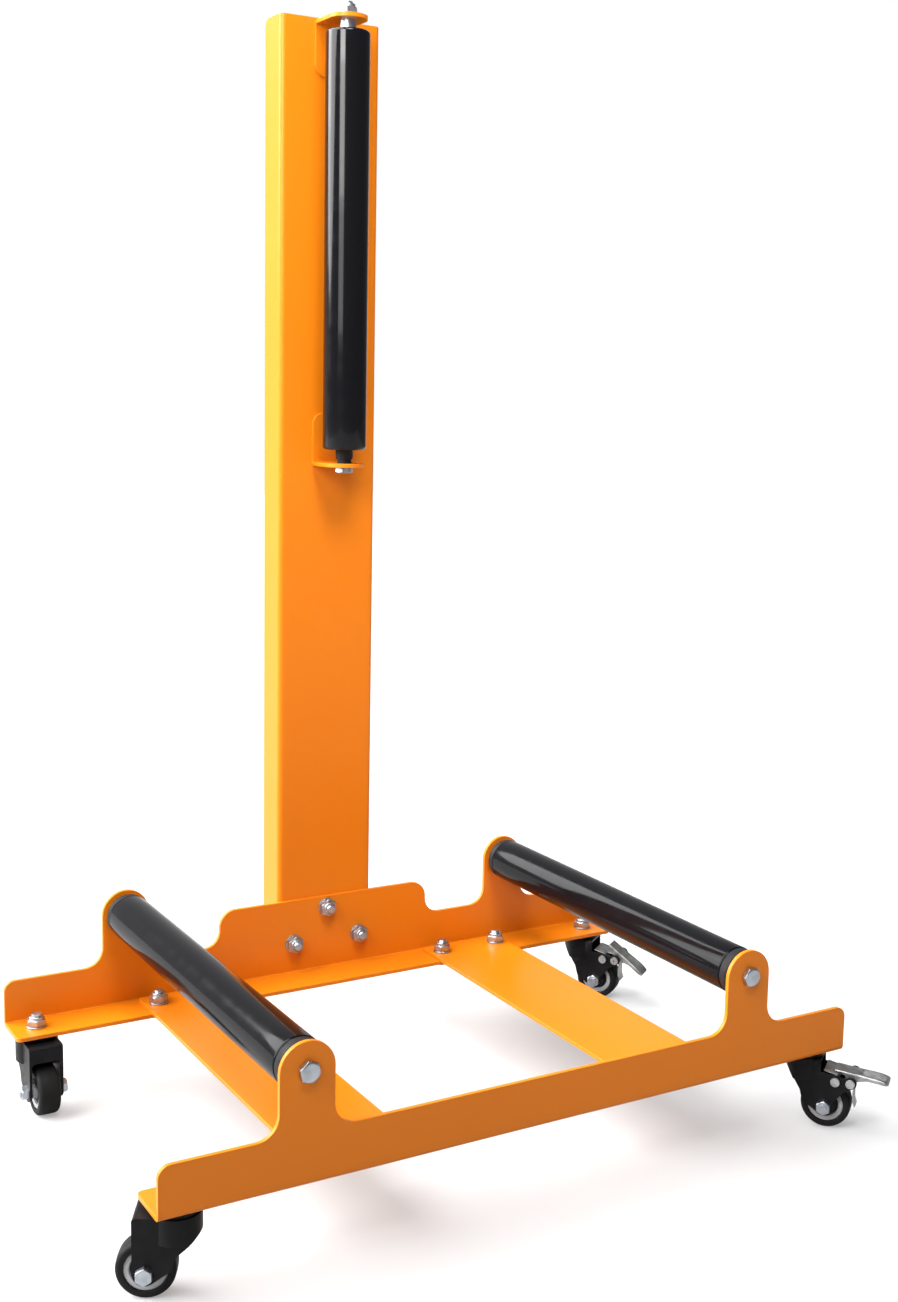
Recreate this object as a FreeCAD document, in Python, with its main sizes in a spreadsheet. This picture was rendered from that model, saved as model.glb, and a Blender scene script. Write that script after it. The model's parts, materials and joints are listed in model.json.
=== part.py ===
import FreeCAD, Part
import math
import os
import Sketcher

# Wheel dolly: two pressed rails joined by cross plates, a mast, three idler rollers and four
# swivel casters.  Frame of the part: +X along the rails towards the braked casters, +Y from
# the front rail to the mast, +Z up, origin on the floor under the middle of the rails.

NODE_FOLDER = "parts"
doc = FreeCAD.newDocument("wheel_dolly")

# ---------------------------------------------------------------- driving dimensions, mm
DIMENSIONS = [
    # frame of rails and cross plates
    ("base_height", 78),           # floor to the underside of the rails
    ("rail_length", 720),
    ("frame_depth", 454),          # outer face of the front rail to that of the rear rail
    ("rail_height", 47),
    ("flange_width", 51),
    ("plate", 4),                  # thickness of every pressed plate
    ("bend_inside", 1.5),
    ("bend_outside", 5.5),
    ("rail_corner", 11),
    ("flange_corner", 5),
    ("ear_offset", 232),           # middle of the dolly to a roller ear
    ("ear_width", 50),
    ("ear_fillet", 20),
    ("roller_rise", 100.5),        # underside of the rails to the side rollers' axes
    ("bump_width", 254),
    ("bump_height", 86),
    ("bump_corner", 18),
    ("bump_fillet", 18),
    ("cross_offset", 171),
    ("cross_width", 100),
    ("cross_end_gap", 6),
    ("cross_corner", 2),
    ("cross_bolt_pitch", 72),
    ("cross_bolt_inset", 32),      # from the rail's outer face
    # mast and its brackets
    ("mast_width", 114),
    ("mast_depth", 40),
    ("mast_foot", 2),
    ("mast_top", 1030),            # both above the underside of the rails
    ("mast_corner", 8),
    ("mast_bolt_pitch", 80),
    ("mast_bolt_low", 37),
    ("mast_bolt_high", 74),
    ("bracket_width", 40),
    ("bracket_leg", 56),
    ("bracket_leg_corner", 12),
    ("bracket_reach", 39),         # face of the mast to the mast roller's axis
    ("upper_tab", 1023),           # underside of the upper bracket's tab
    ("lower_tab", 571.5),          # top of the lower bracket's tab
    # rollers
    ("side_tube_length", 420),
    ("mast_tube_length", 426),
    ("roller_radius", 23),
    ("tube_wall", 3.5),
    ("tube_shoulder", 3.2),
    ("mast_roller_low", 586),      # lower end of the mast roller's tube
    ("cap_depth", 15),
    ("cap_web", 2),
    ("cap_flange_radius", 22.5),
    ("cap_flange_length", 10),
    ("cap_flange_round", 4),
    ("cap_bore_radius", 8.2),
    ("cap_relief_radius", 10.8),   # keeps the web clear of the bearing's inner ring
    ("cap_relief_depth", 1),
    ("nose_length", 10),
    ("nose_root_radius", 9.5),
    ("nose_tip_radius", 8.8),
    ("shaft_radius", 7.5),
    ("shaft_thread_depth", 30),
    ("roller_bolt_reach", 24),     # thread of a roller bolt inside the shaft
    ("bearing_width", 11),
    ("bearing_radius", 17.5),
    ("bearing_pitch_radius", 12.6),
    ("outer_ring_bore", 15),
    ("inner_ring_radius", 10.2),
    ("bearing_ball", 3),
    ("bearing_groove", 3.1),
    ("collar_radius", 8.5),
    ("collar_gap", 1),
    # M10 fasteners
    ("bolt_radius", 5),
    ("hole_radius", 5.25),
    ("hex_radius", 9.8),           # centre to corner
    ("hex_flat_radius", 8.5),      # centre to flat
    ("head_height", 6.4),
    ("nut_height", 6.6),
    ("nut_collar_radius", 7.2),
    ("nut_collar_height", 3),
    ("washer_radius", 10),
    ("washer_height", 2),
    ("bolt_show", 2.5),            # thread that stands out of a nut
    # casters, heights measured down from the underside of the rails
    ("stem_inset", 25.5),          # from the rail's end
    ("stem_depth", 27),            # from the rail's outer face
    ("stem_head_radius", 8),
    ("stem_head_top", 8.4),
    ("stem_head_low", 11),
    ("swivel_clearance", 0.06),
    ("race_radius", 19.5),
    ("race_height", 5),
    ("race_web", 2.5),
    ("race_lip_radius", 15.5),
    ("swivel_pitch_radius", 11.5),
    ("swivel_ball", 1.9),
    ("swivel_groove", 2.05),
    ("swivel_ball_depth", 4),
    ("crown_radius", 21),
    ("crown_top", 5.5),
    ("fork_wall", 2.5),
    ("leg_outside", 17),
    ("trail", 24),
    ("axle_depth", 53),
    ("leg_end_radius", 10),
    ("drum_depth", 28),            # lower end of the round crown
    ("slope_start", 21),           # of the plain fork's front edge
    ("brake_slope_start", 6.5),
    ("slope_end", 39),
    ("slope_end_trail", -1),
    ("leg_front_trail", 2),
    ("leg_front_depth", 50),
    ("hood_depth", 21.5),          # plain fork: lower edge of its closed back
    ("hood_round", 3),
    ("arch_round", 4),
    ("brake_crown_trail", 19),     # braked fork: its open back steps down behind the crown
    ("brake_crown_depth", 13.5),
    ("brake_edge_trail", 35),
    ("brake_edge_depth", 17.5),
    ("brake_waist_trail", 42),
    ("brake_waist_depth", 36),
    ("wheel_radius", 25),
    ("wheel_width", 22),
    ("tread_shoulder", 4),
    ("rim_radius", 18),
    ("rim_lip_radius", 12.6),
    ("rim_width", 19),
    ("rim_dish", 5),
    ("hub_radius", 8),
    ("hub_width", 26),
    ("hub_bore", 5.06),
    ("sleeve_radius", 5),
    ("sleeve_bore", 4.2),
    ("axle_radius", 4),
    ("axle_hex_radius", 7.5),
    ("axle_hex_flat", 6.5),
    ("axle_head_height", 5.3),
    ("axle_nut_height", 6.5),
    # brake of the right-hand casters
    ("pivot_trail", 49),
    ("pivot_depth", 25),
    ("rivet_trail", 34),
    ("rivet_depth", 25.5),
    ("rivet_radius", 2.5),
    ("rivet_head_radius", 4.6),
    ("rivet_head_height", 2.4),
    ("pivot_boss_radius", 6),
    ("pedal_back", 11),
    ("pedal_front", 37),
    ("pedal_rise", 5.3),           # pivot to the plate's underside
    ("pedal_sheet", 2),
    ("pedal_width", 20),
    ("pedal_corner", 4),
    ("pedal_lip", 3),
    ("cheek_sheet", 1.7),
    ("cheek_radius", 4.6),
    ("cheek_back", 9),
    ("cheek_front", 24),
    ("cheek_bore", 2.56),
    ("shoe_sheet", 1.2),
    ("shoe_width", 15),
    ("shoe_tail_width", 20),
    ("shoe_tail_start", 16),
    ("shoe_tail_depth", 16.4),
    ("shoe_tail_end", 35.5),
    ("shoe_tail_end_depth", 19.9),
    ("shoe_pad_trail", 50.8),      # the hanging end, a little behind the tread
    ("shoe_pad_top", 37),
    ("shoe_pad_low", 46.5),
    ("shoe_tip_trail", 52.8),
    ("shoe_tip_depth", 53),
]


def make_sheet(rows):
    """One row per dimension: its name, its value and the alias that expressions use."""
    sheet = doc.addObject("Spreadsheet::Sheet", "dims")
    for row, (name, value) in enumerate(rows, start=1):
        sheet.set(f"A{row}", name)
        sheet.set(f"B{row}", str(value))
        sheet.setAlias(f"B{row}", name)
    doc.recompute()
    return sheet


sheet = make_sheet(DIMENSIONS)
nodes = []


def size(name):
    """The number in a cell of the sheet."""
    return float(sheet.get(name))


# ---------------------------------------------------------------- helpers
TURN_TO = {
    "z": FreeCAD.Rotation(),
    "-z": FreeCAD.Rotation(FreeCAD.Vector(1, 0, 0), 180),
    "y": FreeCAD.Rotation(FreeCAD.Vector(1, 0, 0), -90),
    "-y": FreeCAD.Rotation(FreeCAD.Vector(1, 0, 0), 90),
}


def place(item, x="0", y="0", z="0", turn=None):
    """Bind an object's position to expressions and give it a fixed rotation."""
    item.Placement = FreeCAD.Placement(FreeCAD.Vector(), turn or FreeCAD.Rotation())
    for letter, text in (("x", x), ("y", y), ("z", z)):
        item.setExpression(f"Placement.Base.{letter}", text)
    return item


def primitive(kind, values, x="0", y="0", z="0", axis="z"):
    """A Part primitive whose sizes and position are expressions."""
    item = doc.addObject(f"Part::{kind}", kind.lower())
    for name, text in values.items():
        item.setExpression(name, text)
    return place(item, x, y, z, TURN_TO[axis])


def cylinder(radius, height, x="0", y="0", z="0", axis="z"):
    return primitive("Cylinder", {"Radius": radius, "Height": height}, x, y, z, axis)


def cone(low_radius, high_radius, height, x="0", y="0", z="0", axis="z"):
    values = {"Radius1": low_radius, "Radius2": high_radius, "Height": height}
    return primitive("Cone", values, x, y, z, axis)


def hexagon(radius, height, x="0", y="0", z="0", axis="z"):
    item = primitive("Prism", {"Circumradius": radius, "Height": height}, x, y, z, axis)
    item.Polygon = 6
    return item


def torus(radius, tube, x="0", y="0", z="0", axis="z"):
    return primitive("Torus", {"Radius1": radius, "Radius2": tube}, x, y, z, axis)


def cut(base, *tools):
    for tool in tools:
        result = doc.addObject("Part::Cut", "cut")
        result.Base = base
        result.Tool = tool
        base = result
    return base


def common(first, second):
    result = doc.addObject("Part::Common", "common")
    result.Base = first
    result.Tool = second
    return result


def fuse(*items):
    result = doc.addObject("Part::MultiFuse", "fuse")
    result.Shapes = list(items)
    result.Refine = True
    return result


def group(label, items):
    """Several separate solids that share one node."""
    result = doc.addObject("Part::Compound", label)
    result.Links = list(items)
    return keep(result, label)


def keep(item, label):
    """Name a finished sub-part and list it for export."""
    item.Label = label
    nodes.append(item)
    return item


def new_body(label):
    body = doc.addObject("PartDesign::Body", label)
    return keep(body, label)


def origin_plane(body, role):
    return next(item for item in body.Origin.OriginFeatures if item.Role == role)


def new_sketch(body, plane):
    sketch = body.newObject("Sketcher::SketchObject", "sketch")
    sketch.AttachmentSupport = [(origin_plane(body, plane), "")]
    sketch.MapMode = "FlatFace"
    return sketch


def pin_point(sketch, curve, corner, x, y):
    """Tie one point of a sketch to the origin with two expressions."""
    for direction, text in (("DistanceX", x), ("DistanceY", y)):
        start = sketch.getPoint(curve, corner)
        value = start.x if direction == "DistanceX" else start.y
        rule = sketch.addConstraint(Sketcher.Constraint(direction, -1, 1, curve, corner, value))
        sketch.setExpression(f"Constraints[{rule}]", text)


def polygon_sketch(body, plane, corners):
    """A closed outline whose corners are pairs of expressions."""
    sketch = new_sketch(body, plane)
    count = len(corners)
    start = [FreeCAD.Vector(math.cos(2 * math.pi * i / count), math.sin(2 * math.pi * i / count), 0)
             for i in range(count)]
    for i in range(count):
        sketch.addGeometry(Part.LineSegment(start[i], start[(i + 1) % count]), False)
    for i in range(count):
        sketch.addConstraint(Sketcher.Constraint("Coincident", i, 2, (i + 1) % count, 1))
    for i, (x, y) in enumerate(corners):
        pin_point(sketch, i, 1, x, y)
    return sketch


def rectangle_sketch(body, plane, left, low, right, high):
    return polygon_sketch(body, plane, [(left, low), (right, low), (right, high), (left, high)])


def circles_sketch(body, plane, centres, radius):
    sketch = new_sketch(body, plane)
    for i, (x, y) in enumerate(centres):
        middle = FreeCAD.Vector(3.0 * i, 1, 0)
        sketch.addGeometry(Part.Circle(middle, FreeCAD.Vector(0, 0, 1), 1), False)
        pin_point(sketch, i, 3, x, y)
        rule = sketch.addConstraint(Sketcher.Constraint("Radius", i, 1.0))
        sketch.setExpression(f"Constraints[{rule}]", radius)
    return sketch


def pad(body, sketch, length, reverse=False):
    feature = body.newObject("PartDesign::Pad", "pad")
    feature.Profile = sketch
    feature.setExpression("Length", length)
    feature.Reversed = reverse
    doc.recompute()
    return feature


def pocket_through(body, sketch, reverse=False):
    """Cut a sketch through the whole body, and make sure that it does cut."""
    before = body.Shape.Volume
    feature = body.newObject("PartDesign::Pocket", "pocket")
    feature.Profile = sketch
    feature.Type = "ThroughAll"
    feature.Reversed = reverse
    doc.recompute()
    if not body.Shape.Volume < before:
        raise RuntimeError(f"a pocket of {body.Label} removes nothing")
    return feature


def mirror_across(body, features, role):
    feature = body.newObject("PartDesign::Mirrored", "mirrored")
    feature.Originals = features
    feature.MirrorPlane = (origin_plane(body, role), [""])
    body.Tip = feature
    doc.recompute()
    return feature


def revolve(body, sketch):
    feature = body.newObject("PartDesign::Revolution", "revolution")
    feature.Profile = sketch
    feature.ReferenceAxis = (sketch, ["V_Axis"])
    feature.Angle = 360
    doc.recompute()
    return feature


def edges_at(shape, direction, spots):
    """Names of the straight edges along a direction that pass through one of the spots.

    A spot is a point with None for the coordinate that doesn't matter."""
    names = []
    for number, edge in enumerate(shape.Edges, start=1):
        if edge.Curve.TypeId != "Part::GeomLine":
            continue
        if abs(edge.Curve.Direction.dot(direction)) < 0.999:
            continue
        middle = edge.CenterOfMass
        for spot in spots:
            near = [abs(a - b) < 0.01 for a, b in zip(middle, spot) if b is not None]
            if all(near):
                names.append(f"Edge{number}")
    return names


def round_edges(body, direction, spots, radius):
    base = body.Tip
    names = edges_at(base.Shape, direction, spots)
    if not names:
        raise RuntimeError(f"no edge of {body.Label} to round by {radius}")
    feature = body.newObject("PartDesign::Fillet", "fillet")
    feature.Base = (base, names)
    feature.setExpression("Radius", radius)
    doc.recompute()
    return feature


def round_rims(body, rim_radius, radius, low_only=False):
    """Round the circular edges of one radius on a turned body, or only the lowest of them."""
    base = body.Tip
    rims = [(edge.BoundBox.Center.z, f"Edge{number}")
            for number, edge in enumerate(base.Shape.Edges, start=1)
            if edge.Curve.TypeId == "Part::GeomCircle" and abs(edge.Curve.Radius - rim_radius) < 0.01]
    rims.sort()
    if not rims:
        raise RuntimeError(f"no rim of {body.Label} to round by {radius}")
    feature = body.newObject("PartDesign::Fillet", "fillet")
    feature.Base = (base, [name for height, name in (rims[:1] if low_only else rims)])
    feature.setExpression("Radius", radius)
    doc.recompute()
    return feature


X_AXIS = FreeCAD.Vector(1, 0, 0)
Y_AXIS = FreeCAD.Vector(0, 1, 0)
Z_AXIS = FreeCAD.Vector(0, 0, 1)
HALF_TURN = FreeCAD.Rotation(Z_AXIS, 180)


# ---------------------------------------------------------------- pressed frame
def rail(label, with_bump):
    """An angle section with two roller ears; the rear one also rises in the middle for the mast.

    Its own frame: outer face on y = 0, flange towards +y, underside on z = 0."""
    body = new_body(label)
    half = "dims.rail_length / 2"
    pad(body, rectangle_sketch(body, "XZ_Plane", f"-{half}", "0", half, "dims.rail_height"),
        "dims.plate", reverse=True)
    ear_left = "dims.ear_offset - dims.ear_width / 2"
    ear_right = "dims.ear_offset + dims.ear_width / 2"
    post = pad(body, rectangle_sketch(body, "XZ_Plane", ear_left, "dims.plate", ear_right,
                                      "dims.roller_rise"), "dims.plate", reverse=True)
    crown = pad(body, circles_sketch(body, "XZ_Plane", [("dims.ear_offset", "dims.roller_rise")],
                                     "dims.ear_width / 2"), "dims.plate", reverse=True)
    mirror_across(body, [post, crown], "YZ_Plane")
    if with_bump:
        pad(body, rectangle_sketch(body, "XZ_Plane", "-dims.bump_width / 2", "dims.plate",
                                   "dims.bump_width / 2", "dims.bump_height"),
            "dims.plate", reverse=True)
    pad(body, rectangle_sketch(body, "XY_Plane", f"-{half}", "0", half, "dims.flange_width"),
        "dims.plate")
    round_rail(body, with_bump)
    drill_rail(body, with_bump)
    return body


def round_rail(body, with_bump):
    """Fillets at the ears' roots, the free corners and the bend."""
    end = size("rail_length") / 2
    top = size("rail_height")
    ears = [side * (size("ear_offset") + edge * size("ear_width") / 2)
            for side in (-1, 1) for edge in (-1, 1)]
    round_edges(body, Y_AXIS, [(x, None, top) for x in ears], "dims.ear_fillet")
    round_edges(body, Y_AXIS, [(x, None, top) for x in (-end, end)], "dims.rail_corner")
    if with_bump:
        shoulders = (-size("bump_width") / 2, size("bump_width") / 2)
        round_edges(body, Y_AXIS, [(x, None, top) for x in shoulders], "dims.bump_fillet")
        round_edges(body, Y_AXIS, [(x, None, size("bump_height")) for x in shoulders],
                    "dims.bump_corner")
    round_edges(body, Z_AXIS, [(x, size("flange_width"), None) for x in (-end, end)],
                "dims.flange_corner")
    round_edges(body, X_AXIS, [(None, size("plate"), size("plate"))], "dims.bend_inside")
    round_edges(body, X_AXIS, [(None, 0, 0)], "dims.bend_outside")


def cross_bolt_places():
    """Expressions for the x places of the cross-plate bolts on either side."""
    return [f"{side}(dims.cross_offset {step} dims.cross_bolt_pitch / 2)"
            for side in ("-", "") for step in ("-", "+")]


def mast_bolt_places():
    """Expressions for the x and z places of the three mast bolts."""
    return [("-dims.mast_bolt_pitch / 2", "dims.mast_bolt_low"),
            ("dims.mast_bolt_pitch / 2", "dims.mast_bolt_low"),
            ("0", "dims.mast_bolt_high")]


def drill_rail(body, with_bump):
    flange_holes = [(x, "dims.cross_bolt_inset") for x in cross_bolt_places()]
    flange_holes += [(f"{side}(dims.rail_length / 2 - dims.stem_inset)", "dims.stem_depth")
                     for side in ("-", "")]
    pocket_through(body, circles_sketch(body, "XY_Plane", flange_holes, "dims.hole_radius"),
                   reverse=True)
    upright_holes = [(f"{side}dims.ear_offset", "dims.roller_rise") for side in ("-", "")]
    if with_bump:
        upright_holes += mast_bolt_places()
    pocket_through(body, circles_sketch(body, "XZ_Plane", upright_holes, "dims.hole_radius"))


def cross_plate(label, side):
    """A flat strip that lies on both flanges, with two bolts at each end."""
    body = new_body(label)
    length = "(dims.frame_depth - 2 * dims.plate - 2 * dims.cross_end_gap)"
    pad(body, rectangle_sketch(body, "XY_Plane", "-dims.cross_width / 2", f"-{length} / 2",
                               "dims.cross_width / 2", f"{length} / 2"), "dims.plate")
    corner_x = size("cross_width") / 2
    corner_y = size("frame_depth") / 2 - size("plate") - size("cross_end_gap")
    spots = [(x, y, None) for x in (-corner_x, corner_x) for y in (-corner_y, corner_y)]
    round_edges(body, Z_AXIS, spots, "dims.cross_corner")
    reach = "(dims.frame_depth / 2 - dims.cross_bolt_inset)"
    holes = [(f"{a}dims.cross_bolt_pitch / 2", f"{b}{reach}") for a in ("-", "") for b in ("-", "")]
    pocket_through(body, circles_sketch(body, "XY_Plane", holes, "dims.hole_radius"), reverse=True)
    return place(body, f"{side}dims.cross_offset", "0", "dims.base_height + dims.plate")


def mast():
    """A channel with its web on the rear rail's outer face and its flanges pointing back."""
    body = new_body("mast")
    half = "dims.mast_width / 2"
    inner = f"({half} - dims.plate)"
    outline = [(f"-{half}", "0"), (half, "0"), (half, "dims.mast_depth"),
               (inner, "dims.mast_depth"), (inner, "dims.plate"), (f"-{inner}", "dims.plate"),
               (f"-{inner}", "dims.mast_depth"), (f"-{half}", "dims.mast_depth")]
    pad(body, polygon_sketch(body, "XY_Plane", outline), "dims.mast_top - dims.mast_foot")
    edge = size("mast_width") / 2
    web = size("plate")
    round_edges(body, Z_AXIS, [(x, 0, None) for x in (-edge, edge)], "dims.bend_outside")
    round_edges(body, Z_AXIS, [(x, web, None) for x in (web - edge, edge - web)], "dims.bend_inside")
    height = size("mast_top") - size("mast_foot")
    round_edges(body, X_AXIS, [(None, size("mast_depth"), height)], "dims.mast_corner")
    holes = [(x, f"{z} - dims.mast_foot") for x, z in mast_bolt_places()]
    pocket_through(body, circles_sketch(body, "XZ_Plane", holes, "dims.hole_radius"))
    return place(body, "0", "dims.frame_depth / 2", "dims.base_height + dims.mast_foot")


def roller_bracket(label, tab_height, leg_side):
    """A bent strip welded to the mast: a leg on the web and a round-ended tab for the roller.

    Its own frame: leg's back on y = 0, tab's outer face on z = 0, leg on the roller's side."""
    body = new_body(label)
    half = "dims.bracket_width / 2"
    pad(body, rectangle_sketch(body, "XY_Plane", f"-{half}", "-dims.bracket_reach", half, "0"),
        "dims.plate")
    pad(body, circles_sketch(body, "XY_Plane", [("0", "-dims.bracket_reach")], half), "dims.plate")
    pad(body, rectangle_sketch(body, "XZ_Plane", f"-{half}", "0", half, "dims.bracket_leg"),
        "dims.plate")
    edge = size("bracket_width") / 2
    web = size("plate")
    round_edges(body, Y_AXIS, [(x, None, size("bracket_leg")) for x in (-edge, edge)],
                "dims.bracket_leg_corner")
    round_edges(body, X_AXIS, [(None, -web, web)], "dims.bend_inside")
    round_edges(body, X_AXIS, [(None, 0, 0)], "dims.bend_outside")
    hole = circles_sketch(body, "XY_Plane", [("0", "-dims.bracket_reach")], "dims.hole_radius")
    pocket_through(body, hole, reverse=True)
    turn = FreeCAD.Rotation(Y_AXIS, 180) if leg_side < 0 else FreeCAD.Rotation()
    return place(body, "0", "dims.frame_depth / 2", f"dims.base_height + {tab_height}", turn)


def build_frame():
    front = rail("front_rail", with_bump=False)
    place(front, "0", "-dims.frame_depth / 2", "dims.base_height")
    rear = rail("rear_rail", with_bump=True)
    place(rear, "0", "dims.frame_depth / 2", "dims.base_height", HALF_TURN)
    cross_plate("left_cross_plate", "-")
    cross_plate("right_cross_plate", "")
    mast()
    roller_bracket("upper_roller_bracket", "dims.upper_tab + dims.plate", leg_side=-1)
    roller_bracket("lower_roller_bracket", "dims.lower_tab - dims.plate", leg_side=1)


# ---------------------------------------------------------------- M10 fasteners
def offset(start, sign, distance):
    """An expression that moves a place along its axis."""
    return f"{start} {sign} ({distance})"


def along(axis, start, distance):
    """Keyword places for a piece that sits a distance along an axis from a start point."""
    x, y, z = start
    sign = "-" if axis.startswith("-") else "+"
    if axis.endswith("y"):
        y = offset(y, sign, distance)
    else:
        z = offset(z, sign, distance)
    return {"x": x, "y": y, "z": z, "axis": axis}


def bevelled_hexagon(radius, flat, height, axis, start, distance):
    """A hexagon whose far corners are turned off by a shallow cone."""
    spot = along(axis, start, distance)
    solid = hexagon(radius, height, **spot)
    return common(solid, cone(f"{flat} * 0.96 + ({height}) * 1.7", f"{flat} * 0.96", height, **spot))


def hex_bolt(start, axis, length):
    """Bolt: start is the seat of its head, and axis points from the head along the shank."""
    back = "-" + axis if not axis.startswith("-") else axis[1:]
    head = bevelled_hexagon("dims.hex_radius", "dims.hex_flat_radius", "dims.head_height", back,
                            start, "0")
    shank = cylinder("dims.bolt_radius", length, **along(axis, start, "0"))
    return fuse(head, shank)


def lock_nut(start, axis):
    """Nut with a plastic-insert collar: start is its seat and axis points away from the seat."""
    body = bevelled_hexagon("dims.hex_radius", "dims.hex_flat_radius", "dims.nut_height", axis,
                            start, "0")
    collar = cylinder("dims.nut_collar_radius", "dims.nut_height + dims.nut_collar_height",
                      **along(axis, start, "0"))
    bore = cylinder("dims.bolt_radius", "dims.nut_height + dims.nut_collar_height + 2",
                    **along(axis, start, "-1"))
    return cut(fuse(body, collar), bore)


def washer(start, axis):
    disc = cylinder("dims.washer_radius", "dims.washer_height", **along(axis, start, "0"))
    bore = cylinder("dims.hole_radius", "dims.washer_height + 2", **along(axis, start, "-1"))
    return cut(disc, bore)


MAST_ROLLER_Y = "(dims.frame_depth / 2 - dims.bracket_reach)"
NUT_STACK = "dims.washer_height + dims.nut_height + dims.nut_collar_height + dims.bolt_show"


def build_frame_fasteners():
    """Bolts up through flange and cross plate, and back to front through mast and rear rail."""
    reach = "(dims.frame_depth / 2 - dims.cross_bolt_inset)"
    spots = [(x, f"{side}{reach}") for x in cross_bolt_places() for side in ("-", "")]
    deck = "dims.base_height + 2 * dims.plate"
    group("cross_plate_bolts", [hex_bolt((x, y, "dims.base_height"), "z",
                                         f"2 * dims.plate + {NUT_STACK}") for x, y in spots])
    group("cross_plate_washers", [washer((x, y, deck), "z") for x, y in spots])
    group("cross_plate_nuts", [lock_nut((x, y, f"{deck} + dims.washer_height"), "z")
                               for x, y in spots])
    front = "dims.frame_depth / 2 - dims.plate"
    back = "dims.frame_depth / 2 + dims.plate"
    spots = [(x, f"dims.base_height + {z}") for x, z in mast_bolt_places()]
    group("mast_bolts", [hex_bolt((x, back, z), "-y", f"2 * dims.plate + {NUT_STACK}")
                         for x, z in spots])
    top = "dims.base_height + dims.upper_tab + dims.plate"
    washers = [washer((x, front, z), "-y") for x, z in spots]
    group("mast_washers", washers + [washer(("0", MAST_ROLLER_Y, top), "z")])
    nuts = [lock_nut((x, f"{front} - dims.washer_height", z), "-y") for x, z in spots]
    group("mast_nuts", nuts + [lock_nut(("0", MAST_ROLLER_Y, f"{top} + dims.washer_height"), "z")])


# ---------------------------------------------------------------- rollers
SIDE_AXIS_Z = "dims.base_height + dims.roller_rise"
SIDE_ROLLERS = {"left": "-dims.ear_offset", "right": "dims.ear_offset"}
BALLS_IN_BEARING = 8


def roller_frames():
    """For each roller: where its tube starts, which way it runs and how long it is."""
    frames = {side: ((x, "-dims.side_tube_length / 2", SIDE_AXIS_Z), "y", "dims.side_tube_length")
              for side, x in SIDE_ROLLERS.items()}
    low = "dims.base_height + dims.mast_roller_low"
    frames["mast"] = (("0", MAST_ROLLER_Y, low), "z", "dims.mast_tube_length")
    return frames


def point_along(axis, start, distance):
    spot = along(axis, start, distance)
    return (spot["x"], spot["y"], spot["z"])


def roller_tube(label, start, axis, length):
    """A thick tube with rounded shoulders."""
    body = new_body(label)
    bore = "dims.roller_radius - dims.tube_wall"
    revolve(body, rectangle_sketch(body, "XZ_Plane", bore, "0", "dims.roller_radius", length))
    round_rims(body, size("roller_radius"), "dims.tube_shoulder")
    return place(body, *start, TURN_TO[axis])


def end_cap(start, axis, kind):
    """Plug of a roller's end, with its bearing's seat; axis points into the tube.

    A flange nearly as wide as the tube shows on the side rollers, a tapered nose on the
    lower end of the mast roller, and nothing on its upper end."""
    body = doc.addObject("PartDesign::Body", f"{kind}_cap")
    bore = "dims.cap_bore_radius"
    seat = "dims.bearing_radius"
    plug = "dims.roller_radius - dims.tube_wall"
    relief = "dims.cap_relief_radius"
    relief_floor = "dims.cap_web - dims.cap_relief_depth"
    inside = [(plug, "dims.cap_depth"), (seat, "dims.cap_depth"), (seat, "dims.cap_web"),
              (relief, "dims.cap_web"), (relief, relief_floor), (bore, relief_floor)]
    if kind == "flanged":
        low = "-dims.cap_flange_length"
        flange = "dims.cap_flange_radius"
        outside = [(bore, low), (flange, low), (flange, "0"), (plug, "0")]
    elif kind == "nosed":
        low = "-dims.nose_length"
        outside = [(bore, low), ("dims.nose_tip_radius", low), ("dims.nose_root_radius", "0"),
                   (plug, "0")]
    else:
        outside = [(bore, "0"), (plug, "0")]
    revolve(body, polygon_sketch(body, "XZ_Plane", outside + inside))
    if kind == "flanged":
        round_rims(body, size("cap_flange_radius"), "dims.cap_flange_round", low_only=True)
    return place(body, *start, TURN_TO[axis])


def bearing_groove(start, axis, depth):
    spot = along(axis, start, f"{depth} + dims.bearing_width / 2")
    return torus("dims.bearing_pitch_radius", "dims.bearing_groove", **spot)


def bearing_ring(start, axis, depth, outside, bore):
    """One ring of a ball bearing, with its groove."""
    spot = along(axis, start, depth)
    ring = cut(cylinder(outside, "dims.bearing_width", **spot),
               cylinder(bore, "dims.bearing_width", **spot))
    return cut(ring, bearing_groove(start, axis, depth))


def ball_at(radius, pitch, angle, x, y, z, axis="z"):
    """A ball on a circle round an axis through x, y, z."""
    side = f"{pitch} * cos({angle} deg)"
    other = f"{pitch} * sin({angle} deg)"
    if axis == "y":
        return primitive("Sphere", {"Radius": radius}, f"{x} + {side}", y, f"{z} + {other}")
    return primitive("Sphere", {"Radius": radius}, f"{x} + {side}", f"{y} + {other}", z)


def bearing_balls(start, axis, depth):
    spot = along(axis, start, f"{depth} + dims.bearing_width / 2")
    return [ball_at("dims.bearing_ball", "dims.bearing_pitch_radius", 360 * i / BALLS_IN_BEARING,
                    spot["x"], spot["y"], spot["z"], axis) for i in range(BALLS_IN_BEARING)]


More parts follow.
